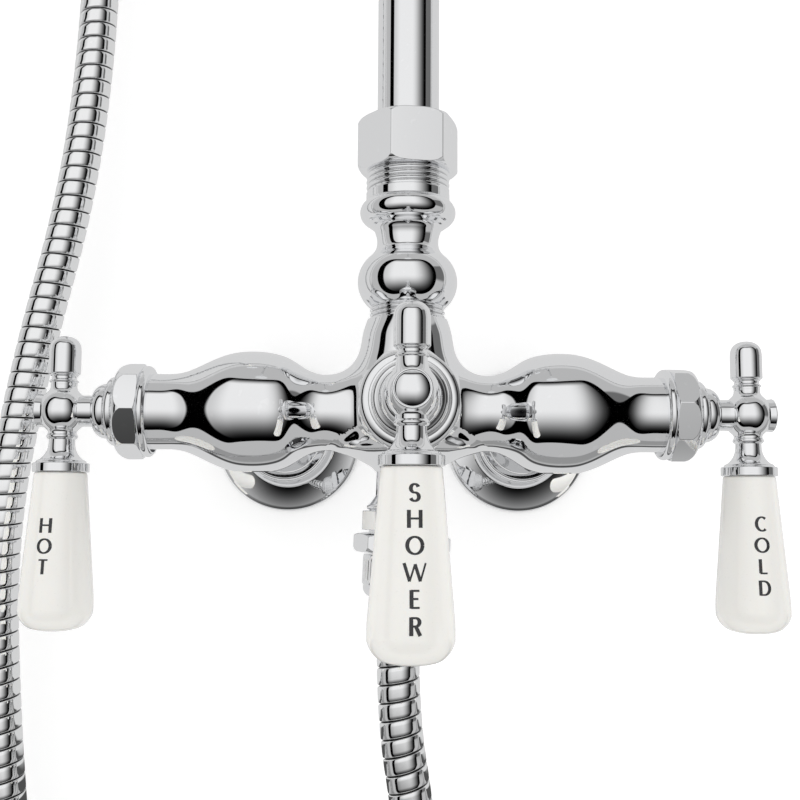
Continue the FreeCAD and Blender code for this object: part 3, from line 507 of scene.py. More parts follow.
def skin_of_field(
    field_of: Callable[[Array], Array], low: Triple, high: Triple, step: float, rounds: int = 6
) -> tuple[Array, Array, list[Face]]:
    """Mesh the zero level of a distance field.

    Args:
        field_of: distance, negative inside, at rows of points.
        low: lowest corner of the box to search.
        high: highest corner of the box.
        step: size of a cell.
        rounds: how many times the points are drawn to the level.

    Returns:
        Points, outward normals and faces.
    """
    axes = [np.arange(a, b + step, step) for a, b in zip(low, high)]
    lattice = np.stack(np.meshgrid(*axes, indexing="ij"), axis=-1)
    inside = field_of(lattice.reshape(-1, 3)).reshape(lattice.shape[:3]) < 0
    total = 0
    for i, j, k in np.ndindex(2, 2, 2):
        ends = (n - 1 + c for n, c in zip(inside.shape, (i, j, k)))
        total = total + inside[tuple(slice(c, e) for c, e in zip((i, j, k), ends))].astype(int)
    mixed = (total > 0) & (total < 8)
    index = np.full(mixed.shape, -1)
    index[mixed] = np.arange(mixed.sum())
    points = (np.argwhere(mixed) + 0.5) * step + np.array(low)

    def gradient(spots: Array, reach: float = 0.02) -> Array:
        """Slope of the field by small steps each way."""
        moves = np.eye(3) * reach
        return np.stack([(field_of(spots + m) - field_of(spots - m)) / (2 * reach) for m in moves], axis=1)

    for _ in range(rounds):
        slope = gradient(points)
        push = field_of(points) / np.maximum((slope**2).sum(axis=1), 1e-6)
        points = points - slope * np.clip(push, -step, step)[:, None]
    normals = gradient(points)
    normals /= np.linalg.norm(normals, axis=1)[:, None]
    faces: list[Face] = []
    for axis in range(3):
        u, v = (axis + 1) % 3, (axis + 2) % 3
        near, ahead = [slice(None)] * 3, [slice(None)] * 3
        near[axis], ahead[axis] = slice(0, -1), slice(1, None)
        starts = np.argwhere(inside[tuple(near)] != inside[tuple(ahead)])
        keep = (starts[:, u] > 0) & (starts[:, v] > 0)
        keep &= (starts[:, u] < inside.shape[u] - 1) & (starts[:, v] < inside.shape[v] - 1)
        starts = starts[keep]
        ring = []
        for du, dv in ((1, 1), (0, 1), (0, 0), (1, 0)):
            cell = starts.copy()
            cell[:, u] -= du
            cell[:, v] -= dv
            ring.append(index[tuple(cell.T)])
        quads = np.stack(ring, axis=1)
        inward = ~inside[tuple(starts.T)]
        quads[inward] = quads[inward][:, ::-1]
        faces += [tuple(int(i) for i in quad) for quad in quads if quad.min() >= 0]
    return points, normals, faces


# Finishes


class Graph:
    """Short calls for making and joining shader nodes in one tree."""

    def __init__(self, tree: bpy.types.NodeTree) -> None:
        """Work on that tree."""
        self.tree = tree

    @classmethod
    def afresh(cls, owner: bpy.types.Material | bpy.types.World) -> Graph:
        """Empty the node tree of a material or a world.

        Args:
            owner: what the tree belongs to.

        Returns:
            The graph of the empty tree.
        """
        owner.use_nodes = True
        owner.node_tree.nodes.clear()
        return cls(owner.node_tree)

    def node(self, kind: str, inputs: Mapping | None = None, **settings: object) -> bpy.types.Node:
        """Add a node.

        Args:
            kind: the node's type.
            inputs: a value or another node's output for its inputs, by name or place.
            settings: its settings.

        Returns:
            The new node.
        """
        made = self.tree.nodes.new(kind)
        for name, value in settings.items():
            setattr(made, name, value)
        for name, value in (inputs or {}).items():
            if isinstance(value, Socket):
                self.tree.links.new(value, made.inputs[name])
            else:
                made.inputs[name].default_value = value
        return made

    def math(self, operation: str, *values: object) -> Socket:
        """The result of one arithmetic step."""
        return self.node("ShaderNodeMath", dict(enumerate(values)), operation=operation).outputs[0]

    def product(self, *values: object) -> Socket:
        """All the values multiplied."""
        return functools.reduce(lambda a, b: self.math("MULTIPLY", a, b), values)

    def hump(self, value: object, middle: float, half: float, power: float) -> Socket:
        """How far a value is from a middle, in half widths, to a power."""
        share = self.math("DIVIDE", self.math("SUBTRACT", value, middle), half)
        return self.math("POWER", self.math("ABSOLUTE", share), power)

    def ramp(self, value: object, low: float, high: float, start: object = 0.0, end: object = 1.0) -> Socket:
        """A smooth step of a value from start to end as it goes from low to high."""
        inputs = {"Value": value, "From Min": low, "From Max": high, "To Min": start, "To Max": end}
        return self.node("ShaderNodeMapRange", inputs, interpolation_type="SMOOTHSTEP").outputs["Result"]

    def noise(self, vector: object, scale: object, detail: float, roughness: float) -> Socket:
        """Soft noise, from 0 to 1."""
        inputs = {"Vector": vector, "Scale": scale, "Detail": detail, "Roughness": roughness}
        return self.node("ShaderNodeTexNoise", inputs).outputs["Fac"]

    def blend(self, share: object, a: object, b: object) -> Socket:
        """A colour between two colours."""
        return self.node("ShaderNodeMix", {0: share, 6: a, 7: b}, data_type="RGBA").outputs[2]

    def relief(self, height: object, depth: float) -> Socket:
        """Shading bent by a height, in metres of depth."""
        return self.node("ShaderNodeBump", {"Strength": 1.0, "Distance": depth, "Height": height}).outputs[0]

    def mixed(self, share: object, a: object, b: object) -> Socket:
        """One shader where a share is 0, another where it is 1."""
        return self.node("ShaderNodeMixShader", {0: share, 1: a, 2: b}).outputs[0]

    def surface(self, front: Socket, gone: Socket) -> None:
        """End a material that isn't there where a share is 1."""
        clear = self.node("ShaderNodeBsdfTransparent").outputs[0]
        self.node("ShaderNodeOutputMaterial", {"Surface": self.mixed(gone, front, clear)})


def surface_marks() -> bpy.types.NodeTree:
    """Shared effect: faint waves, polishing lines and specks on a worked surface.

    Returns:
        The node group, made once.
    """
    found = bpy.data.node_groups.get("surface_marks")
    if found:
        return found
    tree = bpy.data.node_groups.new("surface_marks", "ShaderNodeTree")
    for label in ("Wave Scale", "Line Scale", "Speck Scale", "Low", "High"):
        tree.interface.new_socket(name=label, in_out="INPUT", socket_type="NodeSocketFloat")
    for label in ("Height", "Value", "Specks"):
        tree.interface.new_socket(name=label, in_out="OUTPUT", socket_type="NodeSocketFloat")
    graph = Graph(tree)
    given = graph.node("NodeGroupInput").outputs
    where = graph.node("ShaderNodeTexCoord").outputs["Object"]
    waves = graph.noise(where, given["Wave Scale"], 2.0, 0.45)
    stretch = graph.node("ShaderNodeMapping", {"Vector": where, "Scale": (1.0, 0.12, 0.35)})
    lines = graph.noise(stretch.outputs[0], given["Line Scale"], 3.0, 0.6)
    mixed = graph.math("ADD", graph.product(waves, 0.6), graph.product(lines, 0.4))
    outputs = {
        "Height": graph.math("ADD", waves, graph.product(lines, 0.06)),
        "Value": graph.ramp(mixed, 0.3, 0.7, given["Low"], given["High"]),
        "Specks": graph.ramp(graph.noise(where, given["Speck Scale"], 1.0, 0.5), 0.68, 0.74),
    }
    graph.node("NodeGroupOutput", outputs)
    return tree


@dataclass(frozen=True)
class Finish:
    """What every finish has: its name, the record's slot, its plain colour and its roughness."""

    name: str
    slot: str
    colour: Triple
    gloss: float = 0.0
    dull: float = 0.0

    def material(self) -> bpy.types.Material:
        """Make the finish's material, or find the one made before.

        Returns:
            The material.
        """
        found = bpy.data.materials.get(self.name)
        if found:
            return found
        made = bpy.data.materials.new(self.name)
        graph = Graph.afresh(made)
        shader = graph.node("ShaderNodeBsdfPrincipled", self.dress(graph))
        graph.node("ShaderNodeOutputMaterial", {"Surface": shader.outputs[0]})
        return made

    def marks(self, graph: Graph, wave: float, line: float, speck: float = 400.0) -> Mapping:
        """Place the shared surface effect with this finish's own values.

        Args:
            graph: the material's graph.
            wave: scale of the waves.
            line: scale of the polishing lines.
            speck: scale of the specks.

        Returns:
            The effect's outputs, by name.
        """
        inputs = {"Wave Scale": wave, "Line Scale": line, "Speck Scale": speck}
        inputs |= {"Low": self.gloss, "High": self.dull}
        return graph.node("ShaderNodeGroup", inputs, node_tree=surface_marks()).outputs

    def toned(self, share: float) -> tuple[float, ...]:
        """The plain colour, darker or lighter."""
        return (*(min(1.0, c * share) for c in self.colour), 1.0)

    def shades(self, graph: Graph, share: object, spread: float) -> Socket:
        """The plain colour, a little darker and lighter by a share."""
        return graph.blend(share, self.toned(1 - spread), self.toned(1 + spread))

    def dress(self, graph: Graph) -> dict[str, object]:
        """Draw the finish; each kind of finish has its own way.

        Args:
            graph: the material's graph.

        Returns:
            What the shader's inputs get, by name.
        """
        raise NotImplementedError


@dataclass(frozen=True)
class Plated(Finish):
    """Bright plating over a polished casting, turned bar or rolled strip."""

    gloss: float = 0.02
    dull: float = 0.045
    wave_depth: float = 0.000003
    # painted shade in grooves: the share of the colour left there, and the roughness added there
    painted_shade: float = 0.07
    painted_shade_rough: float = 0.3

    def dress(self, graph: Graph) -> dict[str, object]:
        """Metal with slight waves and a gloss that varies, with painted shade in its grooves: darker colour
        and more roughness there.

        Args:
            graph: the material's graph.

        Returns:
            What the shader's inputs get, by name.
        """
        marks = self.marks(graph, 45.0, 900.0)
        # painted shade: the groove attribute darkens the colour and raises the roughness
        groove = graph.node("ShaderNodeAttribute", attribute_name="groove").outputs["Fac"]
        painted_shade = graph.ramp(groove, 0.15, 0.8)
        pale = self.shades(graph, marks["Specks"], 0.015)
        return {
            "Metallic": 1.0,
            "Base Color": graph.blend(painted_shade, pale, self.toned(self.painted_shade)),
            "Roughness": graph.math("ADD", marks["Value"], graph.product(painted_shade, self.painted_shade_rough)),
            "Normal": graph.relief(marks["Height"], self.wave_depth),
        }


@dataclass(frozen=True)
class Machined(Finish):
    """Bare turned metal inside the valve and in threads."""

    gloss: float = 0.22
    dull: float = 0.38

    def dress(self, graph: Graph) -> dict[str, object]:
        """Metal with tool lines.

        Args:
            graph: the material's graph.

        Returns:
            What the shader's inputs get, by name.
        """
        marks = self.marks(graph, 200.0, 2500.0)
        return {
            "Metallic": 1.0,
            "Base Color": self.shades(graph, marks["Value"], 0.08),
            "Roughness": marks["Value"],
            "Normal": graph.relief(marks["Height"], 0.00002),
        }


@dataclass(frozen=True)
class Glazed(Finish):
    """Porcelain under a clear glaze."""

    gloss: float = 0.09
    dull: float = 0.16

    def dress(self, graph: Graph) -> dict[str, object]:
        """Warm white body with faint clouds and pinholes under a bright glaze.

        Args:
            graph: the material's graph.

        Returns:
            What the shader's inputs get, by name.
        """
        marks = self.marks(graph, 90.0, 300.0, 1500.0)
        pale = self.shades(graph, marks["Height"], 0.012)
        return {
            "Base Color": graph.blend(marks["Specks"], pale, self.toned(0.96)),
            "Roughness": marks["Value"],
            "IOR": 1.52,
            "Subsurface Weight": 0.12,
            "Subsurface Radius": (0.0016, 0.0013, 0.0010),
            "Coat Weight": 0.6,
            "Coat Roughness": 0.04,
            "Normal": graph.relief(marks["Height"], 0.00001),
        }


@dataclass(frozen=True)
class Moulded(Finish):
    """Rubber, plastic, fired ceramic or print, with no metal in it."""

    gloss: float = 0.4
    dull: float = 0.6
    grain: float = 0.00003

    def dress(self, graph: Graph) -> dict[str, object]:
        """A plain body with a fine grain.

        Args:
            graph: the material's graph.

        Returns:
            What the shader's inputs get, by name.
        """
        marks = self.marks(graph, 400.0, 1800.0)
        return {
            "Base Color": self.shades(graph, marks["Value"], 0.06),
            "Roughness": marks["Value"],
            "Normal": graph.relief(marks["Height"], self.grain),
        }


CHROME = Plated("polished_chrome", "chrome", (0.93, 0.935, 0.945))
STRIP = Plated("rolled_strip_chrome", "hose_metal", (0.95, 0.955, 0.96), gloss=0.035, dull=0.07)
SPRAY_PLATE = Plated("spray_plate_chrome", "spray", (0.86, 0.87, 0.88), gloss=0.09, dull=0.15)
BRASS = Machined("turned_brass", "brass", (0.72, 0.55, 0.25))
PORCELAIN = Glazed("glazed_porcelain", "porcelain", (0.965, 0.95, 0.905))
FIRED = Moulded("lapped_ceramic", "ceramic", (0.88, 0.87, 0.84), gloss=0.25, dull=0.35, grain=0.000005)
PACKING = Moulded("packing_ring", "packing", (0.85, 0.85, 0.82))
RUBBER = Moulded("black_rubber", "rubber", (0.03, 0.03, 0.03), gloss=0.55, dull=0.75)
INK = Moulded("fired_print", "porcelain", (0.035, 0.035, 0.038), gloss=0.2, dull=0.3, grain=0.000002)


# Pieces of the shower


class Valve(Enum):
    """The three valves: which way each one's stem points, and its body."""

    HOT = "hot"
    COLD = "cold"
    DIVERTER = "diverter"

    def stem(self, distance: float) -> Place:
        """The frame at a distance along its stem."""
        way = {"hot": (-1.0, 0.0, 0.0), "cold": (1.0, 0.0, 0.0), "diverter": (0.0, -1.0, 0.0)}[self.value]
        return Place(tuple(c * distance for c in way), way)

    @property
    def lever_body(self) -> str:
        """The moving body of its lever."""
        return f"{self.value}_lever"


@dataclass(frozen=True)
class BodyCasting:
    """The cast body: bulb-armed cross tube, bell, front boss, outlet and wall stubs.

    Arm, bell and foot are turned forms, given by (distance from the middle, radius).
    """

    arm_end: float = 79.8
    arm_spare: float = 0.5
    front_end: float = 33.4
    arm: Table = (
        (0.0, 11.7), (12.0, 11.7), (22.5, 11.72), (26.3, 11.95), (29.8, 12.8), (33.3, 14.65), (36.8, 16.85),
        (40.8, 18.3), (44.8, 18.95), (49.0, 19.1), (53.3, 18.75), (57.7, 17.6), (61.7, 15.95), (65.7, 14.05),
        (69.5, 12.55), (73.2, 11.9), (77.0, 11.85), (81.0, 11.85),
    )
    bell: Table = ((0.0, 14.6), (12.0, 14.6), (20.0, 14.5), (24.5, 14.2), (27.0, 13.6), (30.0, 12.6))
    bell_end: float = 29.8
    core: float = 17.0
    foot: Table = (
        (3.0, 13.0), (6.0, 16.5), (9.0, 19.6), (11.9, 20.2), (14.3, 15.7), (16.1, 12.4), (17.6, 10.0),
        (18.6, 8.8),
    )
    foot_start: float = 3.0
    foot_end: float = 18.6
    foot_narrow: float = 1.25
    outlet: float = 8.8
    boss: float = 11.75
    stub: float = 11.0
    stub_end: float = 25.0
    stub_across: float = 48.4
    cell: float = 0.75

    def field_of(self, spots: Array) -> Array:
        """Distance to the casting's skin.

        Args:
            spots: points, in millimetres from the middle of the valve.

        Returns:
            The distance at each, negative inside.
        """
        x, y, z = spots.T
        across, down = np.abs(x), -z

        def turned(knots: Table, along: Array, out: Array) -> Array:
            """Distance to a turned form, at places along its axis and out from it."""
            radius, slope = Spline(knots).at(along)
            return (out - radius) / np.sqrt(1 + slope**2)

        arms = np.maximum(turned(self.arm, across, np.hypot(y, z)), across - self.arm_end - self.arm_spare)
        bell = np.maximum(turned(self.bell, z, np.hypot(x, y)), down)
        core = np.sqrt(x * x + y * y + z * z) - self.core
        foot = turned(self.foot, down, np.hypot(x, y * self.foot_narrow))
        foot = np.maximum(foot, self.foot_start - down)
        pipe = np.maximum(np.hypot(x, y) - self.outlet, -down)
        boss = np.maximum(np.hypot(x, z) - self.boss, y)
        stub = np.maximum(np.hypot(across - self.stub_across, z) - self.stub, -y)
        flow = arms
        for form, reach in ((bell, 13.0), (core, 5.0), (foot, 4.0), (pipe, 3.0), (boss, 6.0)):
            flow = melt(flow, form, reach)
        for past in (z - self.bell_end, -y - self.front_end, down - self.foot_end):
            flow = np.maximum(flow, past)
        return np.maximum(melt(flow, stub, 5.0), y - self.stub_end)

    def build(self) -> None:
        """Mesh the casting."""
        points, normals, faces = skin_of_field(self.field_of, (-81, -34, -21), (81, 27, 31), self.cell)
        skin = Skin("body_casting").add((points + VALVE) * MM, normals, faces)
        skin.build("wall_set", CHROME, "valve_body")


@dataclass(frozen=True)
class BonnetNut:
    """Octagonal nut with a ring foot and a cone nose of two soft beads."""

    valve: Valve
    end: float
    turn: float
    corner: float = 15.1
    length: float = 10.6
    ring: float = 2.6
    ring_radius: float = 14.35
    ring_bore: float = 11.05
    nose: float = 11.8
    nose_length: float = 7.6
    tip: float = 6.6
    bore: float = 3.05

    def build(self) -> None:
        """Draw the nut, its foot and its nose."""
        place = self.valve.stem(self.end)
        skin = Skin(f"{self.valve.value}_nut")
        form = NutForm(
            sides=8, corner=self.corner, low=self.ring - 0.1, high=self.length, chamfer_low=0.7,
            chamfer_high=4.2, bore=11.1, turn=self.turn, end_high=self.nose,
        )
        form.draw(skin, place)
        foot = Outline(self.ring_bore, 0.0).line(self.ring_radius - 1.3, 0.0, 0.3)
        foot.arc(self.ring_radius, self.ring / 2, self.ring_radius - 0.7, self.ring, 0.2)
        skin.turn(foot.line(self.ring_bore, self.ring), place, closed=True)
        low, top = self.length, self.length + self.nose_length
        wide, tip = self.nose, self.tip
        nose = Outline(self.bore, low - 0.4).line(wide - 0.2, low - 0.4).line(wide - 0.2, low + 0.2, 0.3)
        nose.line(wide - 1.1, low + 0.5, 0.15).arc(wide - 1.0, low + 1.4, wide - 2.4, low + 3.0, 0.2)
        nose.line(tip + 2.0, low + 3.4, 0.15).arc(tip + 1.75, low + 5.3, tip + 0.3, top - 0.4, 0.2)
        nose.line(tip - 0.4, top, 0.3).line(self.bore, top)
        skin.turn(nose, place, closed=True)
        skin.build("wall_set", CHROME, f"{self.valve.value}_bonnet_nut")


@dataclass(frozen=True)
class Lever:
    """A lever: ball hub with finial and cap disc, porcelain handle, and domed screw button."""

    valve: Valve
    end: float
    word: str
    word_turn: float = 0.0
    word_top: float = -32.0
    pitch: float = 6.4
    out: float = 28.2
    ball: float = 7.15
    ball_foot: float = 4.2
    ball_head: float = 5.2
    finial: float = 4.9
    finial_start: float = 11.6
    finial_top: float = 23.5
    waist: float = 3.85
    cap: float = 8.6
    cap_top: float = 16.4
    cap_bottom: float = 19.2
    neck: float = 4.9
    neck_start: float = 18.45
    button: float = 5.1
    button_reach: float = 8.8
    dome: float = 1.05
    handle_top: float = 7.95
    handle_wide: float = 11.3
    wide_at: float = 60.0
    bottom: float = 68.8

    def centre(self) -> Place:
        """The middle of the ball, with the handle hanging down its Z axis."""
        return Place(self.valve.stem(self.end + self.out).origin)

    def hub(self) -> None:
        """Ball, finial, neck and cap disc, with the neck to the stem."""
        ball, low_joint, high_joint = self.ball, self.ball_foot, self.ball_head
        rise = math.sqrt(ball**2 - low_joint**2)
        cap, low, high = self.cap, -self.cap_bottom, -self.cap_top
        waist, finial, start, top = self.waist, self.finial, self.finial_start, self.finial_top
        path = Outline(2.4, low).line(cap, low, 0.3).line(cap, high, 0.3).line(cap - 0.9, high + 0.2, 0.3)
        path.line(cap - 1.3, high + 0.9, 0.4).line(cap - 2.0, high + 1.1, 0.3)
        path.arc(waist + 1.05, high + 3.0, waist + 0.15, high + 6.0, 0.5)
        path.line(waist + 0.1, -8.9).arc(4.75, -8.2, 4.4, -7.4, 0.3)
        path.line(low_joint + 0.1, -rise - 0.3, 0.3).line(low_joint + 0.5, -rise + 0.35, 0.4)
        path.arc(ball, 0.0, high_joint, math.sqrt(ball**2 - high_joint**2), 0.9)
        path.arc(4.45, 6.3, waist + 0.2, 8.3, 0.3).line(waist + 0.2, 8.9, 0.1)
        path.arc(waist + 0.6, 9.3, waist + 0.2, 9.7, 0.1).line(waist - 0.05, 10.1, 0.3)
        path.line(waist, start - 0.75).line(finial - 0.6, start - 0.45, 0.15)
        path.line(finial - 0.6, start - 0.15, 0.1).line(finial, start + 0.1, 0.25)
        path.line(finial, top - 3.7, 1.2).arc(finial - 1.35, top - 0.95, 0.0, top)
        neck = Outline(3.0, self.neck_start).line(self.neck, self.neck_start, 0.25)
        neck.line(self.neck, self.out - 7.3, 0.8).arc(4.95, self.out - 6.3, 5.6, self.out - 4.2)
        skin = Skin(f"{self.valve.value}_hub").turn(path, self.centre())
        skin.turn(neck, self.valve.stem(self.end))
        skin.build(self.valve.lever_body, CHROME, f"{self.valve.value}_lever_hub")

    def screw(self) -> None:
        """Domed screw button in a thin bright rim."""
        button, reach = self.button, self.button_reach
        seat, edge = math.sqrt(self.ball**2 - button**2), reach - self.dome
        rim = Outline(1.9, seat - 3.0).line(1.9, seat - 0.4).line(button - 0.1, seat - 0.5, 0.1)
        rim.line(button + 0.1, edge - 0.5, 0.25).arc(button - 0.05, edge + 0.05, button - 0.45, edge, 0.06)
        rim.line(button - 0.55, edge - 0.15, 0.06).arc(button * 0.5, reach - 0.29 * self.dome, 0.0, reach)
        skin = Skin(f"{self.valve.value}_screw").turn(rim, self.valve.stem(self.end + self.out), columns=96)
        skin.build(self.valve.lever_body, CHROME, f"{self.valve.value}_screw_button")

    def handle_radius(self, height: Array) -> Array:
        """Radius of the porcelain at heights below the ball."""
        share = (-height - self.cap_bottom) / (self.wide_at - self.cap_bottom)
        return self.handle_top + (self.handle_wide - self.handle_top) * np.clip(share, 0, 1)

    def porcelain(self) -> None:
        """Tapered porcelain handle with a rounded foot."""
        top, wide, low = -self.cap_bottom - 0.05, -self.wide_at, -self.bottom
        path = Outline(2.45, top).line(self.handle_top, top, 0.7).line(self.handle_wide, wide, 3.0)
        path.arc(self.handle_wide - 0.85, wide - 4.9, self.handle_wide - 3.6, low + 1.0, 0.8)
        path.arc(self.handle_wide - 7.0, low + 0.15, 0.0, low)
        skin = Skin(f"{self.valve.value}_handle").turn(path, self.centre())
        skin.build(self.valve.lever_body, PORCELAIN, f"{self.valve.value}_porcelain")

    def build(self) -> None:
        """Make the lever's pieces and its word."""
        self.hub()
        self.screw()
        self.porcelain()
        Lettering(self).build()


@dataclass(frozen=True)
class Lettering:
    """A word down the front of a handle, in plain letters drawn with a broad pen."""

    lever: Lever
    height: float = 4.4
    thick: float = 0.98
    thin: float = 0.5
    lift: float = 0.035
    sunk: float = 0.03
    step: float = 0.09
    wide_letter: str = "W"
    wide_weights: tuple[float, float] = (0.85, 0.5)

    def strokes(self, letter: str) -> list[Array]:
        """Draw a letter, one unit high and centred.

        Args:
            letter: which one.

        Returns:
            The pen's path in each stroke.
        """

        def bow(cx: float, cy: float, rx: float, ry: float, start: float, end: float) -> Array:
            """Part of an oval, by angles in degrees."""
            angle = np.radians(np.linspace(start, end, 33))
            return np.stack([cx + rx * np.cos(angle), cy + ry * np.sin(angle)], axis=1)

        belly = [(-0.32, 0.46), *bow(-0.04, 0.0, 0.38, 0.46, 90, -90), (-0.32, -0.46)]
        loop = [(-0.24, 0.46), *bow(0.02, 0.235, 0.215, 0.225, 90, -90), (-0.2, 0.01)]
        upper, lower = bow(0.0, 0.235, 0.215, 0.235, 20, 270), bow(0.0, -0.235, 0.235, 0.235, 90, -160)
        valley, peak = (-0.3, -0.5), (0.0, 0.44)
        shapes = {
            "H": [((-0.33, -0.5), (-0.33, 0.5)), ((0.33, -0.5), (0.33, 0.5)), ((-0.33, 0.02), (0.33, 0.02))],
            "O": [bow(0.0, 0.0, 0.43, 0.47, 0, 360)],
            "T": [((0.0, -0.5), (0.0, 0.46)), ((-0.32, 0.46), (0.32, 0.46))],
            "C": [bow(0.06, 0.0, 0.37, 0.47, 48, 312)],
            "L": [((-0.2, 0.5), (-0.2, -0.46)), ((-0.24, -0.46), (0.26, -0.46))],
            "D": [((-0.28, -0.5), (-0.28, 0.5)), belly],
            "S": [[*upper, *lower]],
            "W": [((-0.61, 0.5), valley), (valley, peak), (peak, (0.3, -0.5)), ((0.3, -0.5), (0.61, 0.5))],
            "E": [((-0.2, -0.5), (-0.2, 0.5)), ((-0.22, 0.46), (0.24, 0.46)), ((-0.22, 0.02), (0.18, 0.02)),
                  ((-0.22, -0.46), (0.25, -0.46))],
            "R": [((-0.22, -0.5), (-0.22, 0.5)), loop, ((0.03, 0.02), (0.28, -0.5))],
        }
        return [np.array(stroke, float) for stroke in shapes[letter]]

    def ribbon(self, path: Array, weight: float) -> tuple[Array, Array]:
        """Both edges of one pen stroke.

        Args:
            path: the pen's path, in millimetres.
            weight: how heavy the stroke is, 1 for a plain one.

        Returns:
            The left and the right edge.
        """
        along = np.concatenate([[0], np.cumsum(np.hypot(*np.diff(path, axis=0).T))])
        count = max(4, int(along[-1] / self.step))
        line = follow(np.linspace(0, along[-1], count), along, path)
        way = np.gradient(line, axis=0)
        way /= np.hypot(*way.T)[:, None]
        width = weight * (self.thin + (self.thick - self.thin) * np.abs(way[:, 1]) ** 1.5)
        side = np.stack([-way[:, 1], way[:, 0]], axis=1) * width[:, None] / 2
        return line + side, line - side

    def laid(self, flat: Array, lift: float) -> tuple[Array, Array]:
        """Wrap part of the flat drawing round the handle.

        Args:
            flat: its points.
            lift: how far over the porcelain they lie.

        Returns:
            Points and their normals.
        """
        radius = self.lever.handle_radius(flat[:, 1])
        angle = flat[:, 0] / radius + math.radians(self.lever.word_turn)
        out = np.stack([np.sin(angle), -np.cos(angle), np.zeros_like(angle)], axis=1)
        points = out * (radius + lift)[:, None]
        points[:, 2] = flat[:, 1]
        return points, out

    def build(self) -> None:
        """Lay the word on the porcelain."""
        lever = self.lever
        skin = Skin(f"{lever.valve.value}_word")
        for i, letter in enumerate(lever.word):
            middle = np.array([0.0, lever.word_top - i * lever.pitch])
            for k, path in enumerate(self.strokes(letter)):
                weight = self.wide_weights[k % 2] if letter == self.wide_letter else 1.0
                left, right = self.ribbon(path * self.height + middle, weight)
                count = len(left)
                laid = [self.laid(left, -self.sunk), self.laid(left, self.lift)]
                laid += [self.laid(right, self.lift), self.laid(right, -self.sunk)]
                points, ways = (np.concatenate(rows) for rows in zip(*laid))
                starts = [r * count + j for r in range(3) for j in range(count - 1)]
                faces = [(s, s + count, s + count + 1, s + 1) for s in starts]
                faces.append(tuple(r * count for r in range(4)))
                faces.append(tuple(r * count + count - 1 for r in (3, 2, 1, 0)))
                skin.add(lever.centre().points(points), ways, faces)
        skin.build(lever.valve.lever_body, INK)


@dataclass(frozen=True)
class WallUnion:
    """Wall flange: a thin bell with a rolled rim."""

    side: int
    spacing: float = 85.7
    rim: float = 26.4
    depth: float = 16.5
    neck: float = 15.6
    mouth: float = 12.8
    wall: float = 1.6

    def build(self) -> None:
        """Draw the flange."""
        name = "hot" if self.side < 0 else "cold"
        place = Place((self.side * self.spacing / 2, -VALVE[1], -VALVE[2]), (0.0, -1.0, 0.0))
        rim, neck, top, inner = self.rim, self.neck, self.depth, self.neck - self.wall
        path = Outline(rim - 3.0, 0.05).line(rim - 0.4, 0.05, 0.3)
        path.arc(rim, 0.95, rim - 0.5, 1.9, 0.2).line(rim - 1.3, 2.2, 0.25)
        path.arc(neck + 5.2, 3.6, neck + 1.5, 5.35, 0.9).arc(neck + 0.45, 9.5, neck, top - 1.2, 0.3)
        path.line(neck - 0.5, top, 0.5).line(self.mouth, top).line(self.mouth, top - 2.0)
        path.line(inner, top - 2.4).line(inner + 0.6, 6.4, 0.8).line(rim - 3.0, 0.9)
        skin = Skin(f"{name}_flange").turn(path, place, columns=192, closed=True)
        skin.build("wall_set", CHROME, f"{name}_wall_flange")


@dataclass(frozen=True)
class Thread:
    """A screw thread as one wound surface between two stations."""

    low: float
    high: float
    crest: float
    depth: float
    pitch: float
    rows: int = 10
    columns: int = 96
    # strength of the painted shade in the thread's valleys
    painted_shade: float = 0.45

    def draw(self, skin: Skin) -> None:
        """Add the thread to a piece.

        Args:
            skin: the piece, whose axis is the valve's upright one.
        """
        first, root = self.low - self.pitch, self.crest - self.depth
        row = np.arange(int((self.high - first) / self.pitch * self.rows) + 1)
        angle = np.linspace(0, 2 * math.pi, self.columns, endpoint=False)
        wave = 0.5 - 0.5 * np.cos(2 * math.pi * ((row / self.rows) % 1.0))
        radius = self.crest - self.depth * (1 - wave) ** 1.2
        station = first + (row[:, None] / self.rows + angle[None, :] / (2 * math.pi)) * self.pitch
        station = np.clip(station, self.low, self.high)
        run_out = np.minimum(station - self.low, self.high - station) / (0.4 * self.pitch)
        fade = np.clip(run_out, 0, 1)
        r = root + (np.repeat(radius[:, None], self.columns, axis=1) - root) * fade
        points = np.stack([r * np.cos(angle), r * np.sin(angle), station], axis=2)
        tilt = (np.gradient(radius) / (self.pitch / self.rows))[:, None] * fade
        size = np.sqrt(1 + tilt**2)
        normals = np.stack([np.cos(angle) / size, np.sin(angle) / size, -tilt / size], axis=2)
        # painted shade, deepest in the thread's valleys
        skin.grid(points, normals, Place(), climb=self.rows, shade=self.painted_shade * (1 - wave) ** 2)


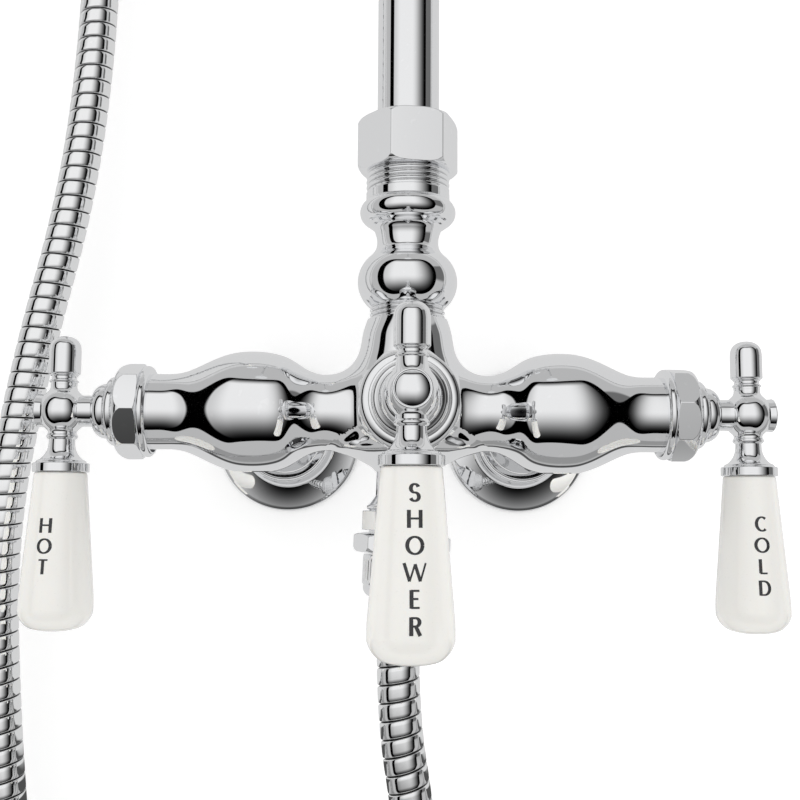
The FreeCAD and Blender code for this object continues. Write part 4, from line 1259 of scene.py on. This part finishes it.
@dataclass(frozen=True)
class RiserFoot:
    """Turned adaptor with its threads, and the union nut."""

    start: float = 29.5
    bore: float = 6.0
    bead: float = 13.4
    top: float = 85.0
    tube: float = 10.1
    nut_low: float = 77.6
    nut_high: float = 95.0
    nut_corner: float = 16.55
    nut_chamfer: float = 2.3
    nut_turn: float = 10.3

    def adaptor(self) -> None:
        """Ball knob, vase neck, bead, collar and threads."""
        bore, bead = self.bore, self.bead
        path = Outline(bore, self.start).line(10.9, self.start).line(10.9, 33.4, 0.1).line(11.9, 33.6)
        path.arc(15.9, 42.0, 11.8, 50.2, 0.5).line(10.4, 51.9, 0.9).arc(9.8, 54.9, 10.4, 57.9, 0.5)
        path.arc(10.8, 58.9, 11.9, 59.9, 0.3).line(13.0, 60.8).arc(15.35, 64.4, bead, 68.0, 0.25)
        path.line(bead, 70.9, 0.25).line(12.6, 71.4).line(12.6, self.top).line(bore, self.top)
        skin = Skin("riser_foot").turn(path, Place(), columns=192, closed=True)
        Thread(29.8, 33.7, 12.0, 0.75, 1.45).draw(skin)
        Thread(71.0, 81.0, bead, 0.8, 1.75).draw(skin)
        skin.build("wall_set", CHROME, "riser_adaptor")

    def build(self) -> None:
        """Make the adaptor and its nut."""
        self.adaptor()
        form = NutForm(
            sides=6, corner=self.nut_corner, low=self.nut_low, high=self.nut_high,
            chamfer_low=self.nut_chamfer, chamfer_high=self.nut_chamfer, bore=self.tube, turn=self.nut_turn,
        )
        form.draw(Skin("riser_nut"), Place()).build("wall_set", CHROME, "riser_union_nut")


@dataclass(frozen=True)
class Outlet:
    """Turned outlet adaptor, coupling nut and knurled hose nut below the body."""

    lean: float = 2.06
    drop: float = 0.5
    bore: float = 4.8
    pipe: float = 10.4
    top: float = 12.2
    bottom: float = 44.0
    hose_nut_at: float = 44.8

    def build(self) -> None:
        """Draw the outlet's pieces from the body down."""
        lean = math.radians(self.lean)
        down = Place((0.0, 0.0, self.drop), (-math.sin(lean), 0.0, -math.cos(lean)))
        path = Outline(self.bore, self.top).line(5.9, self.top).line(5.9, 18.2).line(8.7, 18.2, 0.1)
        path.line(8.7, 26.8, 0.3).line(self.pipe, 29.4).line(10.9, 29.7).arc(11.35, 30.4, 10.9, 31.1, 0.1)
        path.line(self.pipe, 31.3).line(self.pipe, self.bottom).line(self.bore, self.bottom)
        skin = Skin("outlet_foot").turn(path, down, closed=True)
        body = NutForm(
            sides=8, corner=13.5, low=31.2, high=37.4, chamfer_low=0.5, chamfer_high=0.5, bore=10.3,
            turn=22.5, end_low=0.3,
        )
        body.draw(skin, down).build("wall_set", CHROME, "outlet_adaptor")
        nut = NutForm(
            sides=6, corner=15.5, low=37.6, high=44.2, chamfer_low=2.0, chamfer_high=2.0, bore=10.4,
            turn=12.0, end_low=1.6,
        )
        nut.draw(Skin("outlet_nut"), down).build("wall_set", CHROME, "outlet_coupling_nut")
        HoseNut("hose_nut_low", "lower_hose_nut", down.moved(self.hose_nut_at)).build()


@dataclass(frozen=True)
class HoseNut:
    """Barrel nut with a fine straight knurl and a rounded foot."""

    name: str
    node: str
    place: Place
    radius: float = 11.8
    length: float = 13.0
    bore: float = 4.3
    ridges: int = 44
    knurl_start: float = 1.2
    knurl_end: float = 8.4
    knurl_fade: float = 0.3
    knurl_depth: float = 0.32

    def knurl(self, angle: Array, station: Array) -> Array:
        """How deep the straight grooves cut in.

        Args:
            angle: angle round the nut.
            station: place along it.

        Returns:
            The change of radius there.
        """
        band = np.clip((station - self.knurl_start) / self.knurl_fade, 0, 1)
        band = band * np.clip((self.knurl_end - station) / self.knurl_fade, 0, 1)
        wave = np.abs(np.sin(angle * self.ridges / 2))
        return -self.knurl_depth * band * (1 - wave**0.6)

    def build(self) -> None:
        """Draw the nut."""
        r, high, rows = self.radius, self.length, 13
        path = Outline(self.bore, 0.05).line(r - 0.1, 0.05, 0.4)
        for i in range(rows):
            path.line(r, 0.4 + (high - 4.4) * (i + 1) / rows, 0.0)
        path.line(r - 0.5, high - 3.6).line(r - 0.35, high - 3.2)
        path.arc(r - 0.7, high - 1.4, r - 2.6, high, 0.2).line(self.bore, high)
        skin = Skin(self.name)
        skin.turn(path, self.place, columns=self.ridges * 8, closed=True, radius_of=self.knurl)
        skin.build("wall_set", CHROME, self.node, own_normals=False)


@dataclass(frozen=True)
class Hose:
    """Rolled-strip hose from the outlet's nut round to the hand shower."""

    diameter: float = 13.2
    pitch: float = 5.3
    length: float = 1.1843
    groove: float = 0.8
    groove_wide: float = 0.042
    crown: float = 0.1
    crown_wide: float = 0.3
    columns: int = 64
    spacing: float = 0.001
    rib: tuple[float, ...] = (0.0, 0.03, 0.06, 0.1, 0.3, 0.5, 0.7, 0.9, 0.94, 0.97)
    start: Triple = (-2.1, 0.0, -57.3)
    foot: Triple = (-103.0, 27.0, 318.0)
    lean: Triple = (0.12, -0.30, 1.0)
    straight: float = 55.0
    nut: float = 13.0
    route: tuple[Triple, ...] = (
        (-3.2, 0, -88), (3.8, 1, -130), (6.4, 4, -180), (10, 9, -240), (12, 14, -303), (12.5, 18, -365),
        (-7.5, 22, -400), (-43, 26, -421), (-83.5, 29, -421), (-119, 32, -401), (-139.5, 35, -366),
        (-139.5, 36, -312), (-132.5, 36, -240), (-128.2, 35, -165), (-135.6, 35, -105), (-139.9, 35, -40),
        (-130.2, 35, 22), (-116.7, 35, 80), (-111.1, 35, 140), (-112, 38, 205),
    )

    def centreline(self) -> Array:
        """Bend a line through the route.

        Returns:
            Points along it, in metres.
        """
        lean = np.array(self.lean) / np.linalg.norm(self.lean)
        end = np.array(self.foot) - lean * self.nut
        points = (np.array([self.start, *self.route, end - lean * self.straight, end], float) + VALVE) * MM
        curve = bpy.data.curves.new("hose_route", "CURVE")
        curve.dimensions = "3D"
        curve.resolution_u = 24
        line = curve.splines.new("NURBS")
        line.points.add(len(points) - 1)
        for spot, point in zip(line.points, points):
            spot.co = (*point, 1.0)
        line.order_u = 3
        line.use_endpoint_u = True
        holder = bpy.data.objects.new("hose_route", curve)
        bpy.context.scene.collection.objects.link(holder)
        mesh = bpy.data.meshes.new_from_object(holder)
        path = np.array([v.co for v in mesh.vertices])
        bpy.data.objects.remove(holder)
        bpy.data.meshes.remove(mesh)
        bpy.data.curves.remove(curve)
        return path

    def frames(self, path: Array) -> tuple[Array, ...]:
        """Lay an even line along the hose, with two ways across it.

        Args:
            path: points along the hose, in metres.

        Returns:
            Stations, and at each the point, the way across and the other way across.
        """
        along = np.concatenate([[0.0], np.cumsum(np.linalg.norm(np.diff(path, axis=0), axis=1))])
        even = np.linspace(0.0, along[-1], int(along[-1] / self.spacing))
        line = follow(even, along, path)
        reach = 4
        smooth = np.ones(2 * reach + 1) / (2 * reach + 1)
        ways = np.pad(np.gradient(line, axis=0), ((reach, reach), (0, 0)), mode="edge")
        ways = np.stack([np.convolve(column, smooth, "valid") for column in ways.T], axis=1)
        ways /= np.linalg.norm(ways, axis=1)[:, None]
        across = np.cross(np.array([0.0, 1.0, 0.0]), ways)
        across /= np.linalg.norm(across, axis=1)[:, None]
        return even, line, across, np.cross(ways, across)

    def drop(self, share: float) -> float:
        """Depth below the crest.

        Args:
            share: place across one rib, from 0 to 1.

        Returns:
            The depth there, in millimetres.
        """
        edge = min(share, 1 - share)
        crown = self.crown * max(0.0, 1 - edge / self.crown_wide) ** 2
        return self.groove * math.exp(-((edge / self.groove_wide) ** 2)) + crown

    def build(self) -> None:
        """Wind the strip along the line."""
        path = self.centreline()
        even, line, across, other = self.frames(path)
        total, rows = float(even[-1]), len(self.rib)
        turns = round(total / (self.pitch * MM))
        row = np.arange(-rows, turns * rows + 1)
        phase = np.array(self.rib)[row % rows]
        angle = np.linspace(0, 2 * math.pi, self.columns, endpoint=False)
        station = ((row // rows + phase)[:, None] + angle[None, :] / (2 * math.pi)) * (total / turns)
        station = np.clip(station, 0.0, total)
        drop = np.array([self.drop(float(p)) for p in phase])
        radius = (self.diameter / 2 - drop) * MM
        out = follow(station, even, across) * np.cos(angle)[None, :, None]
        out = out + follow(station, even, other) * np.sin(angle)[None, :, None]
        points = follow(station, even, line) + out * radius[:, None, None]
        skin = Skin("metal_hose")
        # painted shade in the grooves between the ribs, drawn by the plated finish
        shade = np.clip(drop / self.groove, 0, 1)
        skin.grid(points / MM, out, Place(tuple(-VALVE)), climb=rows, shade=shade)
        hose = skin.build("wall_set", STRIP, "hose", own_normals=False, merge=1e-7)
        LOG.info("hose centreline %.4f m", total)


class Carried:
    """Solids that are shown as they are, dressed in their finishes."""

    finishes = (CHROME, STRIP, BRASS, PORCELAIN, FIRED, PACKING, SPRAY_PLATE, RUBBER)
    by_slot = {finish.slot: finish for finish in finishes}
    plated = ("hot_union_tail", "cold_union_tail")

    def build(self) -> None:
        """Give every node of the frame its finish."""
        for name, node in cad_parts.items():
            finish = CHROME if name in self.plated else self.finish_of(node)
            node.data.materials.clear()
            node.data.materials.append(finish.material())

    def finish_of(self, node: bpy.types.Object) -> Finish:
        """Find the finish for the slot that the node's packed material names.

        Args:
            node: the solid.

        Returns:
            Its finish.
        """
        slots = [material.name.split(".")[0] for material in node.data.materials if material]
        return next((self.by_slot[slot] for slot in slots if slot in self.by_slot), CHROME)


# The studio


@dataclass(frozen=True)
class Studio:
    """Camera, wall, floor and light. Brightness is 1 for white; the stage is in metres."""

    lens: float = 47.08
    sensor: float = 36.0
    camera: Triple = (-6.73, -328.84, -30.12)
    yaw: float = -0.0138
    pitch: float = 0.1040
    roll: float = 0.0055
    room: float = 0.62
    flag: float = 0.19
    panel: float = 1.1
    fill: float = 1.16
    wall_mirrored: float = 0.68
    wall_edge: float = 0.08
    wall_glow: float = 0.38
    shade_reach: float = 0.05
    wall_colour: tuple[float, ...] = (0.9, 0.9, 0.9, 1.0)
    floor_colour: tuple[float, ...] = (0.86, 0.86, 0.855, 1.0)
    sheet_wide: float = 0.62
    sheet_top: float = 0.52
    sheet_low: float = -0.12
    half: float = 4.0
    floor_height: float = -1.4
    ceiling: float = 3.0

    def place_camera(self) -> None:
        """The camera at the photograph's place."""
        data = bpy.data.cameras.new("camera")
        data.lens = self.lens
        data.sensor_width = self.sensor
        data.clip_start = 0.01
        data.clip_end = 50.0
        camera = bpy.data.objects.new("camera", data)
        turn = Matrix.Rotation(self.yaw, 4, "Z") @ Matrix.Rotation(math.pi / 2 + self.pitch, 4, "X")
        turn = turn @ Matrix.Rotation(self.roll, 4, "Z")
        camera.matrix_world = Matrix.Translation(Vector((np.array(self.camera) + VALVE) * MM)) @ turn
        bpy.context.scene.collection.objects.link(camera)
        bpy.context.scene.camera = camera
        bpy.context.scene.view_settings.view_transform = "Standard"

    def world(self) -> None:
        """White around the object, with a room and its softbox for what mirrors see."""
        world = bpy.data.worlds.new("studio")
        bpy.context.scene.world = world
        graph = Graph.afresh(world)
        way = graph.node("ShaderNodeTexCoord").outputs["Generated"]
        x, y, z = graph.node("ShaderNodeSeparateXYZ", {0: way}).outputs
        degrees = 180 / math.pi
        bearing = graph.product(graph.math("ARCTAN2", x, graph.product(y, -1.0)), degrees)
        height = graph.product(graph.math("ARCSINE", z), degrees)
        inside, glow = self.softbox(graph, bearing, height)
        flag = graph.product(
            graph.ramp(bearing, 56.0, 62.0),
            graph.ramp(bearing, 93.0, 89.0),
            graph.ramp(height, -8.0, 2.0),
            graph.ramp(height, 36.0, 32.0),
        )
        room = graph.math("SUBTRACT", self.room, graph.product(flag, self.room - self.flag))
        room = graph.product(graph.math("SUBTRACT", 1.0, inside), room)
        mirrored = graph.math("ADD", graph.product(inside, glow), room)
        rays = graph.node("ShaderNodeLightPath").outputs
        seen = rays["Is Glossy Ray"]
        fill = graph.product(graph.math("SUBTRACT", 1.0, seen), self.fill)
        strength = graph.math("ADD", graph.product(mirrored, seen), fill)
        strength = graph.math("MAXIMUM", strength, rays["Is Camera Ray"])
        background = graph.node("ShaderNodeBackground", {"Strength": strength})
        graph.node("ShaderNodeOutputWorld", {"Surface": background.outputs[0]})

    def softbox(self, graph: Graph, bearing: Socket, height: Socket) -> tuple[Socket, Socket]:
        """The large soft light in front, with round corners and a bright middle.

        Args:
            graph: the world's graph.
            bearing: degrees to the right of the wall's outward way.
            height: degrees above the horizon.

        Returns:
            Where it is, from 0 to 1, and how bright it is there.
        """
        box = graph.math("ADD", graph.hump(bearing, -3.0, 70.0, 5.0), graph.hump(height, -0.5, 59.5, 5.0))
        edge = graph.math("ADD", graph.hump(bearing, 0.0, 59.0, 3.0), graph.hump(height, 2.0, 57.0, 3.0))
        glow = graph.product(
            graph.ramp(bearing, 62.0, 10.0),
            graph.ramp(bearing, -58.5, -55.5),
            graph.ramp(bearing, -58.0, -30.0, 0.72, 1.0),
            graph.math("POWER", graph.ramp(height, -58.0, 5.0), 1.5),
            graph.ramp(height, 57.5, 47.0),
            graph.ramp(edge, 1.14, 0.94),
            self.panel,
        )
        return graph.ramp(box, 1.04, 0.98), glow

    def wall(self) -> None:
        """The white wall behind, with a painted shadow where its glow is dimmed close behind the pieces."""
        half, low, high = self.half, self.floor_height, self.ceiling
        corners = [(-half, 0, low), (half, 0, low), (half, 0, high), (-half, 0, high)]
        graph = self.plane("wall", "white_wall", corners)
        matt = graph.node("ShaderNodeBsdfDiffuse", {"Color": self.wall_colour}).outputs[0]
        reach = {"Distance": self.shade_reach}
        # painted shadow: ambient occlusion dims the wall's glow next to the pieces
        near = graph.node("ShaderNodeAmbientOcclusion", reach, samples=8).outputs["AO"]
        lit = graph.product(graph.ramp(near, 0.3, 0.95, 0.25, 1.0), self.wall_glow)
        glow = graph.node("ShaderNodeEmission", {"Strength": lit}).outputs[0]
        both = graph.node("ShaderNodeAddShader", {0: matt, 1: glow}).outputs[0]
        mirrored = graph.node("ShaderNodeEmission", {"Strength": self.sheet(graph)}).outputs[0]
        glossy = graph.node("ShaderNodeLightPath").outputs["Is Glossy Ray"]
        back = graph.node("ShaderNodeNewGeometry").outputs["Backfacing"]
        graph.surface(graph.mixed(glossy, both, mirrored), back)

    def floor(self) -> None:
        """A plain pale floor far below, which mirrors look through."""
        half, low = self.half, self.floor_height
        corners = [(-half, 0, low), (-half, -half, low), (half, -half, low), (half, 0, low)]
        graph = self.plane("floor", "pale_floor", corners)
        matt = graph.node("ShaderNodeBsdfDiffuse", {"Color": self.floor_colour}).outputs[0]
        glossy = graph.node("ShaderNodeLightPath").outputs["Is Glossy Ray"]
        back = graph.node("ShaderNodeNewGeometry").outputs["Backfacing"]
        graph.surface(matt, graph.math("MAXIMUM", glossy, back))

    def plane(self, name: str, finish: str, corners: list[Triple]) -> Graph:
        """Make a plain four-cornered part of the stage.

        Args:
            name: its name.
            finish: its material's name.
            corners: its corners, in metres.

        Returns:
            The graph of its material, still empty.
        """
        mesh = bpy.data.meshes.new(name)
        mesh.from_pydata(corners, [], [(0, 1, 2, 3)])
        material = bpy.data.materials.new(finish)
        mesh.materials.append(material)
        made = bpy.data.objects.new(name, mesh)
        bpy.context.scene.collection.objects.link(made)
        return Graph.afresh(material)

    def sheet(self, graph: Graph) -> Socket:
        """How bright mirrors see the wall: an even sheet, dark at its edge, and the room beyond.

        Args:
            graph: the wall's graph.

        Returns:
            The brightness.
        """
        where = graph.node("ShaderNodeTexCoord").outputs["Object"]
        across, _, up = graph.node("ShaderNodeSeparateXYZ", {0: where}).outputs
        middle, half = (self.sheet_top + self.sheet_low) / 2, (self.sheet_top - self.sheet_low) / 2
        wide, tall = graph.hump(across, 0.0, self.sheet_wide, 4.0), graph.hump(up, middle, half, 4.0)
        reach = graph.math("ADD", wide, tall)
        bright = graph.ramp(reach, 1.0, 0.85, self.wall_edge, self.wall_mirrored)
        far = graph.ramp(reach, 1.3, 1.6, 0.0, self.room)
        low = graph.ramp(up, self.sheet_low - 0.1, self.sheet_low, 0.5, 1.0)
        return graph.math("MAXIMUM", bright, graph.product(far, low))

    def build(self) -> None:
        """Set the stage."""
        self.world()
        self.wall()
        self.floor()


def main() -> None:
    """Build the shower, piece by piece, and set the stage."""
    logging.basicConfig(level=logging.INFO, format="%(message)s")
    studio = Studio()
    studio.place_camera()
    Carried().build()
    arm_end, front_end = BodyCasting.arm_end, BodyCasting.front_end
    Outlet().build()
    upper = Place(Hose.foot, tuple(-c for c in Hose.lean))
    HoseNut("hose_nut_high", "upper_hose_nut", upper).build()
    Hose().build()
    BodyCasting().build()
    for valve, end, turn in (
        (Valve.HOT, arm_end, -1.0),
        (Valve.COLD, arm_end, 35.0),
        (Valve.DIVERTER, front_end, 27.0),
    ):
        BonnetNut(valve, end, turn).build()
    side = {"ball": 7.6, "wide_at": 59.2, "bottom": 67.8}
    Lever(Valve.HOT, arm_end, "HOT", word_turn=-7.0, word_top=-35.6, pitch=6.15, **side).build()
    Lever(Valve.COLD, arm_end, "COLD", word_top=-34.0, **side).build()
    Lever(Valve.DIVERTER, front_end, "SHOWER", word_turn=4.0, word_top=-26.0, pitch=6.45).build()
    for side_of_wall in (-1, 1):
        WallUnion(side_of_wall).build()
    RiserFoot().build()
    studio.build()


if __name__ == "__main__":
    main()
